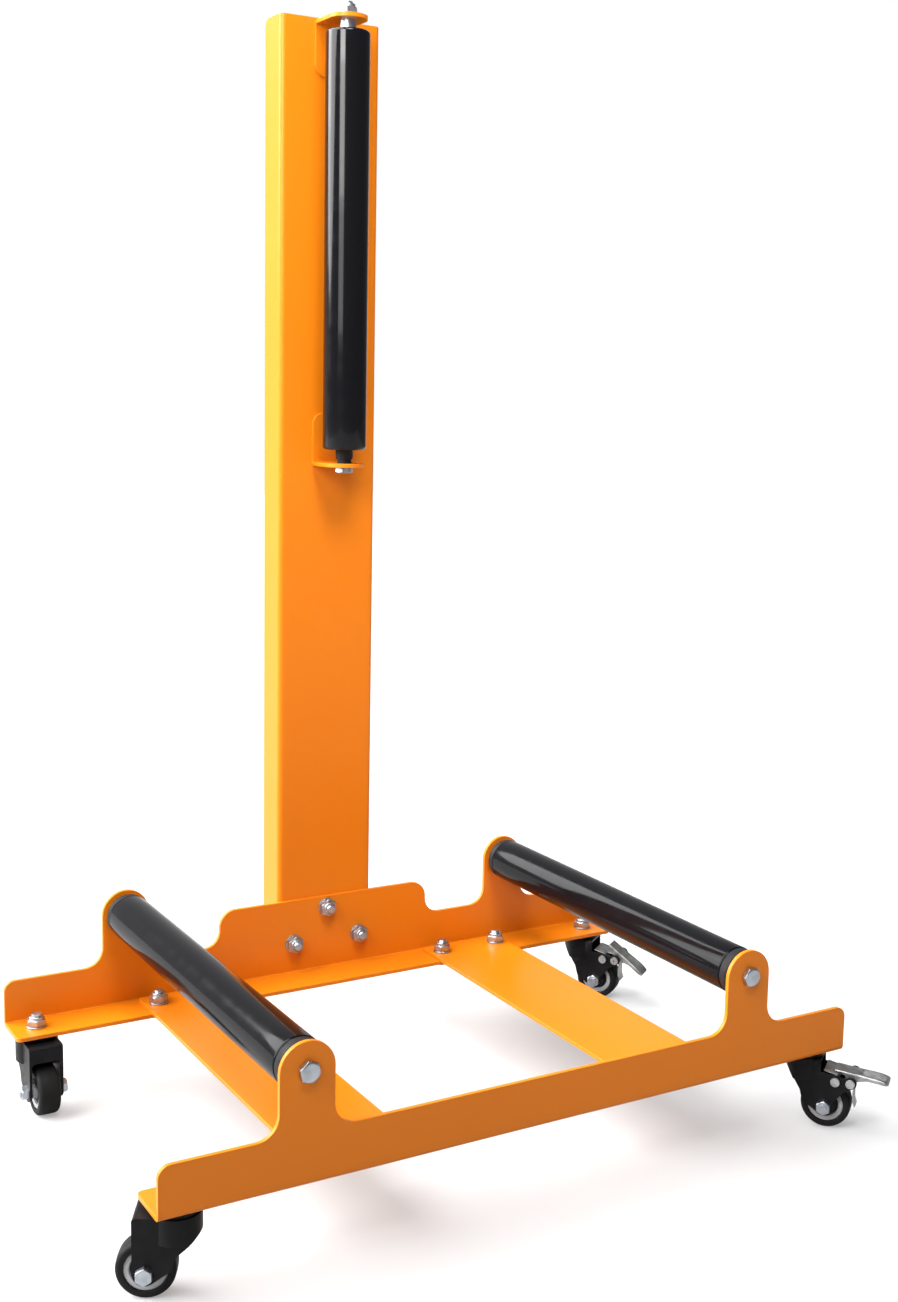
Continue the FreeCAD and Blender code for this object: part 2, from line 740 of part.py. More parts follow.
def build_rollers():
    inner_rings = []
    for name, (start, axis, length) in roller_frames().items():
        roller_tube(f"{name}_roller_tube", start, axis, length)
        kinds = ("nosed", "plain") if name == "mast" else ("flanged", "flanged")
        far = point_along(axis, start, length)
        group(f"{name}_roller_end_caps",
              [end_cap(start, axis, kinds[0]), end_cap(far, "-" + axis, kinds[1])])
        depths = ["dims.cap_web", f"{length} - dims.cap_web - dims.bearing_width"]
        group(f"{name}_roller_bearing_rings",
              [bearing_ring(start, axis, d, "dims.bearing_radius", "dims.outer_ring_bore")
               for d in depths])
        group(f"{name}_roller_bearing_balls",
              [ball for d in depths for ball in bearing_balls(start, axis, d)])
        inner_rings += [bearing_ring(start, axis, d, "dims.inner_ring_radius", "dims.shaft_radius")
                        for d in depths]
    group("roller_inner_rings", inner_rings)
    build_side_shafts()
    build_mast_spindle()


def build_side_shafts():
    """A fixed shaft between the ears for each side roller, held by a bolt at either end."""
    half = "(dims.frame_depth / 2 - dims.plate)"
    bolts = []
    for side, x in SIDE_ROLLERS.items():
        start = (x, f"-{half}", SIDE_AXIS_Z)
        bar = cylinder("dims.shaft_radius", f"2 * {half}", **along("y", start, "0"))
        taps = [cylinder("dims.bolt_radius", "dims.shaft_thread_depth", **along("y", start, "0")),
                cylinder("dims.bolt_radius", "dims.shaft_thread_depth",
                         **along("-y", (x, half, SIDE_AXIS_Z), "0"))]
        keep(cut(bar, *taps), f"{side}_roller_shaft")
        for sign, axis in (("-", "y"), ("", "-y")):
            seat = (x, f"{sign}dims.frame_depth / 2", SIDE_AXIS_Z)
            bolts.append(hex_bolt(seat, axis, "dims.plate + dims.roller_bolt_reach"))
    group("roller_shaft_bolts", bolts)


def build_mast_spindle():
    """The mast roller turns on a sleeve that a long bolt clamps between the brackets' tabs."""
    low = ("0", MAST_ROLLER_Y, "dims.base_height + dims.lower_tab")
    sleeve_top = "dims.mast_roller_low + dims.mast_tube_length + dims.collar_gap"
    sleeve = tube("dims.shaft_radius", f"{sleeve_top} - dims.lower_tab", low)
    keep(sleeve, "mast_roller_sleeve")
    top = ("0", MAST_ROLLER_Y, f"dims.base_height + {sleeve_top}")
    keep(tube("dims.collar_radius", f"dims.upper_tab - ({sleeve_top})", top), "mast_roller_collar")
    seat = point_along("-z", low, "dims.plate")
    span = "dims.upper_tab - dims.lower_tab + 2 * dims.plate"
    keep(hex_bolt(seat, "z", f"{span} + {NUT_STACK}"), "mast_roller_bolt")


def tube(radius, length, start):
    """An upright sleeve round an M10 bolt."""
    spot = along("z", start, "0")
    return cut(cylinder(radius, length, **spot), cylinder("dims.bolt_radius", length, **spot))


# ---------------------------------------------------------------- casters
# name, side along the rails, front or rear, direction in which the wheel trails, brake angle
CASTERS = [
    ("front_left", -1, -1, 152, None),
    ("front_right", 1, -1, -52, 4),
    ("rear_left", -1, 1, -90, None),
    ("rear_right", 1, 1, -54, 33),
]
SWIVEL_BALLS = 12
FAR = 90.0                         # reaches past every piece of a caster


def caster_point(side, end):
    """Expressions for a caster's stem axis, where it meets the underside of the rail."""
    x = "(dims.rail_length / 2 - dims.stem_inset)"
    y = "(dims.frame_depth / 2 - dims.stem_depth)"
    return (x if side > 0 else f"-{x}", y if end > 0 else f"-{y}", "dims.base_height")


def place_caster_piece(item, caster):
    """Put a piece drawn round its stem, trailing along +x, under its own corner."""
    name, side, end, heading, pedal = caster
    return place(item, *caster_point(side, end), FreeCAD.Rotation(Z_AXIS, heading))


def build_caster_stems():
    """Threaded stems with a headed lower end, their nuts and washers, and the fixed races."""
    points = [caster_point(side, end) for name, side, end, heading, pedal in CASTERS]
    stems = []
    races = []
    balls = []
    for point in points:
        top = f"dims.plate + {NUT_STACK}"
        shank = cylinder("dims.bolt_radius", f"{top} + dims.stem_head_low",
                         **along("z", point, "-dims.stem_head_low"))
        head = cylinder("dims.stem_head_radius", "dims.stem_head_low - dims.stem_head_top",
                        **along("z", point, "-dims.stem_head_low"))
        stems.append(fuse(shank, head))
        races.append(top_race(point))
        balls += swivel_balls(point)
    group("caster_stems", stems)
    group("caster_top_races", races)
    group("caster_swivel_balls", balls)
    deck = [(x, y, f"{z} + dims.plate") for x, y, z in points]
    group("caster_stem_washers", [washer(point, "z") for point in deck])
    group("caster_stem_nuts", [lock_nut((x, y, f"{z} + dims.washer_height"), "z")
                               for x, y, z in deck])


def top_race(point):
    """Upper half of the swivel: a turned cup with a ball groove, clamped under the flange."""
    cup = cylinder("dims.race_radius", "dims.race_height", **along("z", point, "-dims.race_height"))
    hollow = cylinder("dims.race_lip_radius", "dims.race_height - dims.race_web",
                      **along("z", point, "-dims.race_height"))
    bore = cylinder("dims.bolt_radius", "dims.race_height", **along("z", point, "-dims.race_height"))
    groove = torus("dims.swivel_pitch_radius", "dims.swivel_groove",
                   **along("z", point, "-dims.swivel_ball_depth"))
    return cut(cup, hollow, bore, groove)


def swivel_balls(point):
    x, y, z = point
    return [ball_at("dims.swivel_ball", "dims.swivel_pitch_radius", 360 * i / SWIVEL_BALLS,
                    x, y, f"{z} - dims.swivel_ball_depth") for i in range(SWIVEL_BALLS)]


def arc_points(centre, radius, start, stop, count):
    """Points along an arc in the x-z plane, angles in degrees."""
    angles = [math.radians(start + (stop - start) * i / count) for i in range(count + 1)]
    return [(centre[0] + radius * math.cos(a), centre[1] + radius * math.sin(a)) for a in angles]


def slab(outline, low, high):
    """An outline in the x-z plane, made of straight runs and arcs, extruded from y low to high."""
    edges = []
    here = None
    for piece in outline:
        if len(piece) == 2:
            target = FreeCAD.Vector(piece[0], low, piece[1])
            if here is not None:
                edges.append(Part.LineSegment(here, target).toShape())
            here = target
            continue
        middle, target = (FreeCAD.Vector(x, low, z) for x, z in piece[1:])
        edges.append(Part.Arc(here, middle, target).toShape())
        here = target
    first = edges[0].Vertexes[0].Point
    if (here - first).Length > 1e-6:
        edges.append(Part.LineSegment(here, first).toShape())
    face = Part.Face(Part.Wire(edges))
    return face.extrude(FreeCAD.Vector(0, high - low, 0))


def lobe(centre, radius, start, stop):
    """An arc entry of an outline round a centre, with the straight run to its start."""
    first, middle, last = arc_points(centre, radius, start, stop, 2)
    return [first, ("arc", middle, last)]


def at(trail, depth):
    """A point of a caster's side view from two sizes, the second one downwards."""
    return (size(trail), -size(depth))


def fork_outline(with_brake):
    """Side view of the fork: a sloped front, a round end at the axle and the trailing edge."""
    axle = at("trail", "axle_depth")
    end = size("leg_end_radius")
    top = -size("crown_top")
    front = -size("crown_radius")
    slope = "brake_slope_start" if with_brake else "slope_start"
    outline = [(front, -size(slope)), (front, top)]
    if with_brake:
        outline += [(size("brake_crown_trail"), top), at("brake_crown_trail", "brake_crown_depth"),
                    at("brake_edge_trail", "brake_edge_depth")]
        outline += lobe(at("pivot_trail", "pivot_depth"), size("pivot_boss_radius"), 80, -65)
        outline.append(at("brake_waist_trail", "brake_waist_depth"))
        outline += lobe(axle, end, 30, -125)
    else:
        bend = size("hood_round")
        outline += lobe((axle[0] + end - bend, top - bend), bend, 90, 0)
        outline += lobe(axle, end, 0, -125)
    return outline + [at("leg_front_trail", "leg_front_depth"), at("slope_end_trail", "slope_end")]


def fork_hollow(with_brake):
    """Side view of the space inside the fork; it is open below, and behind on the braked one."""
    wall = size("fork_wall")
    front = wall - size("crown_radius")
    ceiling = -size("crown_top") - wall
    slope_end = -size("slope_end")
    outline = [(front, wall / 2 - size("slope_start")), (front, ceiling)]
    if not with_brake:
        lip = size("trail") + size("leg_end_radius") - wall
        outline += [(lip, ceiling), (lip, -size("hood_depth")), (FAR, -size("hood_depth"))]
    else:
        outline[0] = (front + wall / 2, ceiling - wall)
        outline[1] = (front + wall / 2, ceiling)
        outline.append((FAR, ceiling))
    return outline + [(FAR, -FAR), (front - wall, -FAR), (front - wall, slope_end),
                      (size("slope_end_trail") + wall / 2, slope_end),
                      (size("slope_end_trail") + wall, slope_end + wall / 2)]


def arch_corners(wall, inside):
    """Rounded upper corners of the opening in the plain fork's back."""
    bend = size("arch_round")
    x = size("trail") + size("leg_end_radius") - wall
    z = -size("hood_depth")
    corners = []
    for side in (-1, 1):
        y = side * inside
        block = Part.makeBox(wall, bend, bend, FreeCAD.Vector(x, min(y, y - side * bend), z - bend))
        arc = Part.makeCylinder(bend, wall, FreeCAD.Vector(x, y - side * bend, z - bend), X_AXIS)
        corners.append(block.cut(arc))
    return corners


def fork_shape(with_brake):
    """Pressed fork: a round crown and two legs, hollow inside and open below."""
    wall = size("fork_wall")
    crown = size("crown_radius")
    leg = size("leg_outside")
    inside = leg - wall
    top = -size("crown_top")
    low = -size("drum_depth")
    drum = Part.makeCylinder(crown, top - low, FreeCAD.Vector(0, 0, low))
    run = Part.makeBox(FAR, 2 * leg, FAR, FreeCAD.Vector(-math.sqrt(crown**2 - leg**2), -leg, -FAR))
    whole = drum.fuse(run).common(slab(fork_outline(with_brake), -FAR, FAR))
    inner_drum = Part.makeCylinder(crown - wall, top - low - 2 * wall, FreeCAD.Vector(0, 0, low + wall))
    inner_front = -math.sqrt((crown - wall)**2 - inside**2)
    inner_run = Part.makeBox(FAR, 2 * inside, FAR, FreeCAD.Vector(inner_front, -inside, -FAR))
    hollow = inner_drum.fuse(inner_run).common(slab(fork_hollow(with_brake), -FAR, FAR))
    shell = whole.cut(hollow)
    if not with_brake:
        shell = shell.fuse(arch_corners(wall, inside))
    return shell.removeSplitter()


def fork_holes(with_brake):
    """Bores of the stem and the axle, the ball groove and the two rivets of the brake."""
    wide = 2 * size("crown_radius") + 2
    side = FreeCAD.Vector(0, 1, 0)

    def across(trail, depth, radius):
        return Part.makeCylinder(radius, wide, FreeCAD.Vector(trail, -wide / 2, -depth), side)

    running = size("bolt_radius") + size("swivel_clearance")
    tools = [Part.makeCylinder(running, 20, FreeCAD.Vector(0, 0, -20)),
             Part.makeTorus(size("swivel_pitch_radius"), size("swivel_groove"),
                            FreeCAD.Vector(0, 0, -size("swivel_ball_depth"))),
             across(size("trail"), size("axle_depth"), size("axle_radius") + 0.1)]
    if with_brake:
        tools.append(across(size("rivet_trail"), size("rivet_depth"), size("rivet_radius")))
        tools.append(across(size("pivot_trail"), size("pivot_depth"), size("rivet_radius")))
    return tools


def feature(label, shape, caster):
    item = doc.addObject("Part::Feature", label)
    item.Shape = shape
    return place_caster_piece(keep(item, label), caster)


def fork(caster):
    with_brake = caster[4] is not None
    shape = fork_shape(with_brake)
    for tool in fork_holes(with_brake):
        shape = shape.cut(tool)
    return feature(f"{caster[0]}_fork", shape, caster)


def wheel_body(label, outline, caster):
    """A body turned from an outline of radius and width, with its axis across the fork."""
    body = new_body(label)
    revolve(body, polygon_sketch(body, "XZ_Plane", outline))
    name, side, end, heading, pedal = caster
    x, y, z = caster_point(side, end)
    turn = FreeCAD.Rotation(Z_AXIS, heading).multiply(TURN_TO["y"])
    return place(body, f"{x} + dims.trail * cos({heading} deg)",
                 f"{y} + dims.trail * sin({heading} deg)", f"{z} - dims.axle_depth", turn)


def mirrored_outline(half):
    """The outline's upper half and, in reverse, its image below the middle."""
    return half + [(radius, f"-({height})") for radius, height in reversed(half)]


def wheel(caster):
    """Moulded tread round a dished rim."""
    name = caster[0]
    edge = "dims.wheel_width / 2"
    tread = mirrored_outline([("dims.rim_radius", edge), ("dims.wheel_radius", edge)])
    rubber = wheel_body(f"{name}_wheel_tread", tread, caster)
    round_rims(rubber, size("wheel_radius"), "dims.tread_shoulder")
    face = "dims.rim_width / 2"
    rim = mirrored_outline([
        ("dims.hub_bore", "dims.hub_width / 2"), ("dims.hub_radius - 1", "dims.hub_width / 2"),
        ("dims.hub_radius", f"{face} - dims.rim_dish"),
        ("dims.rim_lip_radius", f"{face} - dims.rim_dish"),
        ("dims.rim_lip_radius + 0.8", face), ("dims.rim_radius", face)])
    wheel_body(f"{name}_wheel_rim", rim, caster)


def axle(caster):
    """Axle bolt, lock nut and the sleeve that the hub turns on."""
    leg = size("leg_outside")
    inside = leg - size("fork_wall")
    radius = size("axle_radius")
    head = size("axle_head_height")
    nut = size("axle_nut_height")
    centre = (size("trail"), -size("axle_depth"))

    def rod(r, low, high):
        return Part.makeCylinder(r, high - low, FreeCAD.Vector(centre[0], low, centre[1]), Y_AXIS)

    def hexagonal(low, high, bevel_at_low):
        corners = arc_points(centre, size("axle_hex_radius"), 30, 390, 6)
        solid = slab(corners[:-1], low, high)
        crown = size("axle_hex_flat") * 0.96
        wide = crown + (high - low) * 1.7
        radii = (crown, wide) if bevel_at_low else (wide, crown)
        bevel = Part.makeCone(radii[0], radii[1], high - low,
                              FreeCAD.Vector(centre[0], low, centre[1]), Y_AXIS)
        return solid.common(bevel)

    bolt = rod(radius, -leg - nut - 1.5, leg).fuse(hexagonal(leg, leg + head, False))
    lock = hexagonal(-leg - nut, -leg, True).cut(rod(radius, -leg - nut - 1, -leg + 1))
    sleeve = rod(size("sleeve_radius"), -inside, inside)
    sleeve = sleeve.cut(rod(size("sleeve_bore"), -inside - 1, inside + 1))
    return feature(f"{caster[0]}_axle", Part.makeCompound([bolt, sleeve, lock]), caster)


# ---------------------------------------------------------------- brake
def brake_rivets(caster):
    """Two shouldered rivets through the fork: the outer one is the pedal's pivot."""
    leg = size("leg_outside")
    head = size("rivet_head_height")
    rivets = []
    for trail, depth in (("rivet_trail", "rivet_depth"), ("pivot_trail", "pivot_depth")):
        spot = FreeCAD.Vector(size(trail), 0, -size(depth))
        pin = Part.makeCylinder(size("rivet_radius"), 2 * leg, spot + FreeCAD.Vector(0, -leg, 0), Y_AXIS)
        for side in (-1, 1):
            low = leg if side > 0 else -leg - head
            cap = Part.makeCylinder(size("rivet_head_radius"), head,
                                    spot + FreeCAD.Vector(0, low, 0), Y_AXIS)
            pin = pin.fuse(cap)
        rivets.append(pin)
    return feature(f"{caster[0]}_brake_rivets", Part.makeCompound(rivets), caster)


def pedal_shape():
    """Foot lever drawn level round its pivot: a lipped plate above two cheeks."""
    half = size("pedal_width") / 2
    rise = size("pedal_rise")
    metal = size("pedal_sheet")
    back = -size("pedal_back")
    front = size("pedal_front")
    corner = size("pedal_corner")
    plate = Part.makeBox(front - back, 2 * half, metal, FreeCAD.Vector(back, -half, rise))
    uprights = [edge for edge in plate.Edges if abs(edge.tangentAt(edge.FirstParameter).z) > 0.9]
    plate = plate.makeFillet(corner, uprights)
    lip = Part.makeBox(metal, 2 * (half - corner), size("pedal_lip"),
                       FreeCAD.Vector(front - metal, corner - half, rise - size("pedal_lip")))
    boss = size("cheek_radius")
    thick = size("cheek_sheet")
    under = rise + metal / 4
    cheeks = []
    for low in (-half, half - thick):
        disc = Part.makeCylinder(boss, thick, FreeCAD.Vector(0, low, 0), Y_AXIS)
        web = slab([(-boss, 0), (-size("cheek_back"), under), (size("cheek_front"), under), (boss, 0)],
                   low, low + thick)
        cheeks.append(disc.fuse(web))
    whole = plate.fuse([lip] + cheeks)
    bore = Part.makeCylinder(size("cheek_bore"), 2 * half + 2, FreeCAD.Vector(0, -half - 1, 0), Y_AXIS)
    return whole.cut(bore).removeSplitter()


def brake_pedal(caster):
    """The lever at its resting angle, tip down by the caster's pedal angle."""
    shape = pedal_shape()
    shape.rotate(FreeCAD.Vector(0, 0, 0), Y_AXIS, caster[4])
    shape.translate(FreeCAD.Vector(size("pivot_trail"), 0, -size("pivot_depth")))
    return feature(f"{caster[0]}_brake_pedal", Part.makeCompound([shape]), caster)


def strip_outline(points, thickness):
    """A constant-thickness outline about a line of points, mitred at each bend."""
    sides = ([], [])
    for i, (x, z) in enumerate(points):
        before = points[max(i - 1, 0)]
        after = points[min(i + 1, len(points) - 1)]
        normals = []
        for (x0, z0), (x1, z1) in ((before, (x, z)), ((x, z), after)):
            length = math.hypot(x1 - x0, z1 - z0)
            if length > 0:
                normals.append((-(z1 - z0) / length, (x1 - x0) / length))
        nx = sum(n[0] for n in normals) / len(normals)
        nz = sum(n[1] for n in normals) / len(normals)
        reach = thickness / 2 / (nx * nx + nz * nz)
        sides[0].append((x + nx * reach, z + nz * reach))
        sides[1].append((x - nx * reach, z - nz * reach))
    return sides[0] + sides[1][::-1]


def brake_shoe(caster):
    """Spring strip: a wide tail over the inner rivet, a wrap round the pivot and a hanging end."""
    sheet_metal = size("shoe_sheet")
    wrap = size("rivet_radius") + sheet_metal
    tail = [at("shoe_tail_start", "shoe_tail_depth"), at("shoe_tail_end", "shoe_tail_end_depth")]
    strip = tail[1:] + arc_points(at("pivot_trail", "pivot_depth"), wrap, 110, 10, 5)
    strip += [at("shoe_pad_trail", "shoe_pad_top"), at("shoe_pad_trail", "shoe_pad_low"),
              at("shoe_tip_trail", "shoe_tip_depth")]
    half = size("shoe_width") / 2
    wide = size("shoe_tail_width") / 2
    shape = slab(strip_outline(strip, sheet_metal), -half, half)
    shape = shape.fuse(slab(strip_outline(tail, sheet_metal), -wide, wide)).removeSplitter()
    return feature(f"{caster[0]}_brake_shoe", shape, caster)


def build_casters():
    build_caster_stems()
    for caster in CASTERS:
        fork(caster)
        wheel(caster)
        axle(caster)
        if caster[4] is not None:
            brake_pedal(caster)
            brake_shoe(caster)
            brake_rivets(caster)


# ---------------------------------------------------------------- checks and export
def check_document():
    """Stop if any object failed, or any sub-part's shape is empty or not valid."""
    doc.recompute()
    for item in doc.Objects:
        if "Invalid" in item.State or "Error" in item.State:
            raise RuntimeError(f"{item.Label} failed: {item.State}")
    for item in nodes:
        if item.Shape.isNull() or not item.Shape.isValid() or not item.Shape.Solids:
            raise RuntimeError(f"{item.Label} has no valid solid")


def export_nodes():
    os.makedirs(NODE_FOLDER, exist_ok=True)
    for item in nodes:
        item.Shape.exportStep(os.path.join(NODE_FOLDER, f"{item.Label}.step"))
    print(f"{len(nodes)} nodes written")


build_frame()
build_frame_fasteners()
build_rollers()
build_casters()
check_document()
export_nodes()
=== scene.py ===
import json
import math
import random

import bmesh
import bpy
from mathutils import Matrix, Vector


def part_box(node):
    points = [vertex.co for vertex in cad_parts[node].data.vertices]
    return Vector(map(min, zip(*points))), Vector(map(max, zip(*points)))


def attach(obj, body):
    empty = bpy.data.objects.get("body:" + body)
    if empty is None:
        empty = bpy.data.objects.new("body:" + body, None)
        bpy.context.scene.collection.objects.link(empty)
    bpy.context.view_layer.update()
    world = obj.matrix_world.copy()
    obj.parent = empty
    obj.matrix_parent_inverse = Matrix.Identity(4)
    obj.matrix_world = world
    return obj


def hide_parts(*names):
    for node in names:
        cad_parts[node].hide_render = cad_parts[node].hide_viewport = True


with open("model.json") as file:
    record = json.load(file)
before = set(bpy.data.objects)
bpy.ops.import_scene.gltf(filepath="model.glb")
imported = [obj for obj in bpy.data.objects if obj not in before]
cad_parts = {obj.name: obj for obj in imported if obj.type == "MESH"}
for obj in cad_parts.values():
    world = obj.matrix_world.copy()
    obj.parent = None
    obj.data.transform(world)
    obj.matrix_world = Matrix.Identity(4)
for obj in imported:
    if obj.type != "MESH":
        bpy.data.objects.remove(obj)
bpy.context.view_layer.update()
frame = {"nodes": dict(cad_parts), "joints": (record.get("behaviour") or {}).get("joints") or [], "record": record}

# Looks of the wheel dolly: powder-coated plates, gloss black rollers, zinc fasteners and black
# casters.  All lengths are in metres, in the frame of the CAD model.

MM = 0.001
UP = Vector((0, 0, 1))
BACK = Vector((0, 1, 0))
joints = {joint["name"]: joint for joint in frame["joints"]}
MAST_ROLLER_MIDDLE = Vector(joints["mast_roller_spin"]["pos_m"])
random.seed(7)


# ------------------------------------------------------------------ node helpers
def new_material(name):
    """An empty material with a Principled shader; returns the material and its tree."""
    material = bpy.data.materials.new(name)
    material.use_nodes = True
    return material, material.node_tree


def shader_of(tree):
    """The Principled shader of a material's tree."""
    return next(node for node in tree.nodes if node.type == "BSDF_PRINCIPLED")


def set_sockets(node, values):
    """Give constant values to a node's inputs, by name or number."""
    for name, value in values.items():
        node.inputs[name].default_value = value


def add_node(tree, kind, sockets=None, **settings):
    """A new node with constant inputs and settings."""
    node = tree.nodes.new(kind)
    for name, value in settings.items():
        setattr(node, name, value)
    set_sockets(node, sockets or {})
    return node


def noise(tree, scale, detail=3):
    """A noise value in object coordinates; its scale is in features per metre."""
    source = add_node(tree, "ShaderNodeTexCoord")
    node = add_node(tree, "ShaderNodeTexNoise", {"Scale": scale, "Detail": detail})
    tree.links.new(source.outputs["Object"], node.inputs["Vector"])
    return node.outputs["Fac"]


def spread(tree, value, low, high, start=0.3, stop=0.7):
    """A noise value mapped from its usual range onto low to high."""
    node = add_node(tree, "ShaderNodeMapRange", {"From Min": start, "From Max": stop,
                                                 "To Min": low, "To Max": high})
    tree.links.new(value, node.inputs["Value"])
    return node.outputs["Result"]


def blend_colours(tree, mask, first, second):
    """Two colours, or a colour socket and a colour, mixed by a mask."""
    node = add_node(tree, "ShaderNodeMix", data_type="RGBA")
    tree.links.new(mask, node.inputs["Factor"])
    for socket, colour in ((node.inputs[6], first), (node.inputs[7], second)):
        if isinstance(colour, bpy.types.NodeSocket):
            tree.links.new(colour, socket)
        else:
            socket.default_value = (*colour, 1)
    return node.outputs[2]


BEVEL_SAMPLES = 6
EDGE_TURN = 0.12             # fall of the normals' dot product that counts as a full edge


def edge_rounding(tree, radius):
    """The surface normal, rounded over every sharp edge."""
    node = add_node(tree, "ShaderNodeBevel", {"Radius": radius}, samples=BEVEL_SAMPLES)
    return node.outputs["Normal"]


def edge_mask(tree, rounded):
    """One on sharp edges and nought on flat stretches."""
    flat = add_node(tree, "ShaderNodeNewGeometry").outputs["Normal"]
    dot = add_node(tree, "ShaderNodeVectorMath", operation="DOT_PRODUCT")
    tree.links.new(rounded, dot.inputs[0])
    tree.links.new(flat, dot.inputs[1])
    return spread(tree, dot.outputs["Value"], 1, 0, 1 - EDGE_TURN, 1)


def bump(tree, height, strength, distance, normal=None):
    """A normal that follows a height value, on top of another normal if one is given."""
    node = add_node(tree, "ShaderNodeBump", {"Strength": strength, "Distance": distance})
    tree.links.new(height, node.inputs["Height"])
    if normal is not None:
        tree.links.new(normal, node.inputs["Normal"])
    return node.outputs["Normal"]


def finish_material(tree, colour, roughness, normal):
    """Link the finished colour, if there is one, roughness and normal to the shader."""
    shader = shader_of(tree)
    for name, socket in (("Base Color", colour), ("Roughness", roughness), ("Normal", normal)):
        if socket is not None:
            tree.links.new(socket, shader.inputs[name])


# ------------------------------------------------------------------ materials
def powder_coat():
    """Orange powder coat: fine orange peel, slightly uneven gloss, and a painted highlight that lightens it along
    its edges.
    """
    material, tree = new_material("orange_powder_coat")
    set_sockets(shader_of(tree), {"Specular IOR Level": 0.22})
    patches = spread(tree, noise(tree, 5), 0, 1)
    colour = blend_colours(tree, patches, (0.665, 0.170, 0.004), (0.68, 0.178, 0.005))
    rounded = edge_rounding(tree, 0.9 * MM)
    mask = edge_mask(tree, rounded)
    # Painted highlight: the coat is lightened towards yellow along sharp edges, as if they caught the light.
    colour = blend_colours(tree, spread(tree, mask, 0, 0.35, 0, 1), colour, (0.85, 0.31, 0.03))
    gloss = spread(tree, noise(tree, 6), 0.30, 0.35)
    peel = bump(tree, noise(tree, 620, 2), 0.16, 0.05 * MM, rounded)
    finish_material(tree, colour, gloss, peel)
    return material


def gloss_black(name, coat, specular):
    """Deep gloss black of a roller, with faint handling marks in the gloss."""
    material, tree = new_material(name)
    set_sockets(shader_of(tree), {"Base Color": (0.004, 0.004, 0.005, 1), "Coat Weight": coat,
                                  "Coat Roughness": 0.03, "Specular IOR Level": specular})
    gloss = spread(tree, noise(tree, 60, 5), 0.08, 0.17)
    wave = bump(tree, noise(tree, 26, 2), 0.25, 0.06 * MM)
    finish_material(tree, None, gloss, wave)
    return material


def matt_black(name, colour, rough, grain, depth):
    """Moulded or painted black: name, base colour, roughness range, grain scale and depth."""
    material, tree = new_material(name)
    set_sockets(shader_of(tree), {"Specular IOR Level": 0.1})
    patches = spread(tree, noise(tree, 70), 0, 1)
    lighter = tuple(channel * 1.5 for channel in colour)
    tint = blend_colours(tree, patches, colour, lighter)
    rounded = edge_rounding(tree, 0.5 * MM)
    # Painted highlight: the black is lightened along sharp edges, as if they caught the light.
    highlit_edges = blend_colours(tree, spread(tree, edge_mask(tree, rounded), 0, 0.5, 0, 1), tint,
                         tuple(channel * 4 for channel in colour))
    gloss = spread(tree, noise(tree, 130, 4), *rough)
    finish_material(tree, highlit_edges, gloss, bump(tree, noise(tree, grain, 2), 0.3, depth, rounded))
    return material


def plated_steel(name, dull, bright, rough, scale=350):
    """Plated or bare steel: cloudy tone, fine scratches and a painted highlight that brightens its edges."""
    material, tree = new_material(name)
    set_sockets(shader_of(tree), {"Metallic": 1.0})
    clouds = spread(tree, noise(tree, 120, 4), 0, 1)
    tint = blend_colours(tree, clouds, dull, bright)
    rounded = edge_rounding(tree, 0.25 * MM)
    # Painted highlight: the steel is brightened along sharp edges, as if they caught the light.
    highlit_edges = blend_colours(tree, spread(tree, edge_mask(tree, rounded), 0, 0.6, 0, 1), tint,
                         tuple(min(1, channel * 1.25) for channel in bright))
    gloss = spread(tree, noise(tree, 240), *rough)
    grain = bump(tree, noise(tree, scale), 0.25, 0.03 * MM, rounded)
    finish_material(tree, highlit_edges, gloss, grain)
    return material


def nylon():
    """Pale, slightly translucent nylon of the lock nuts' inserts."""
    material, tree = new_material("nylon_insert")
    set_sockets(shader_of(tree), {"Subsurface Weight": 0.2, "Subsurface Scale": 0.001})
    tint = blend_colours(tree, spread(tree, noise(tree, 400), 0, 1), (0.55, 0.6, 0.66),
                         (0.68, 0.72, 0.76))
    finish_material(tree, tint, spread(tree, noise(tree, 500), 0.35, 0.5),
                    bump(tree, noise(tree, 900), 0.2, 0.03 * MM))
    return material


def grey_rim():
    """Grey moulded plastic of the caster rims."""
    material, tree = new_material("grey_rim")
    tint = blend_colours(tree, spread(tree, noise(tree, 90), 0, 1), (0.33, 0.33, 0.34),
                         (0.40, 0.40, 0.41))
    rounded = edge_rounding(tree, 0.4 * MM)
    finish_material(tree, tint, spread(tree, noise(tree, 160), 0.38, 0.52),
                    bump(tree, noise(tree, 1100, 2), 0.25, 0.03 * MM, rounded))
    return material


FLOOR_LIFT = 0.35


def pale_floor():
    """A pale sheet, lifted towards white where it is seen, as in an overexposed studio shot."""
    material, tree = new_material("pale_floor")
    tint = blend_colours(tree, spread(tree, noise(tree, 3), 0, 1), (0.37, 0.37, 0.374),
                         (0.385, 0.385, 0.385))
    lift = add_node(tree, "ShaderNodeMath", {1: FLOOR_LIFT}, operation="MULTIPLY")
    tree.links.new(add_node(tree, "ShaderNodeLightPath").outputs["Is Camera Ray"], lift.inputs[0])
    tree.links.new(lift.outputs[0], shader_of(tree).inputs["Emission Strength"])
    set_sockets(shader_of(tree), {"Emission Color": (1, 1, 1, 1)})
    finish_material(tree, tint, spread(tree, noise(tree, 40), 0.5, 0.6),
                    bump(tree, noise(tree, 300), 0.05, 0.1 * MM))
    return material


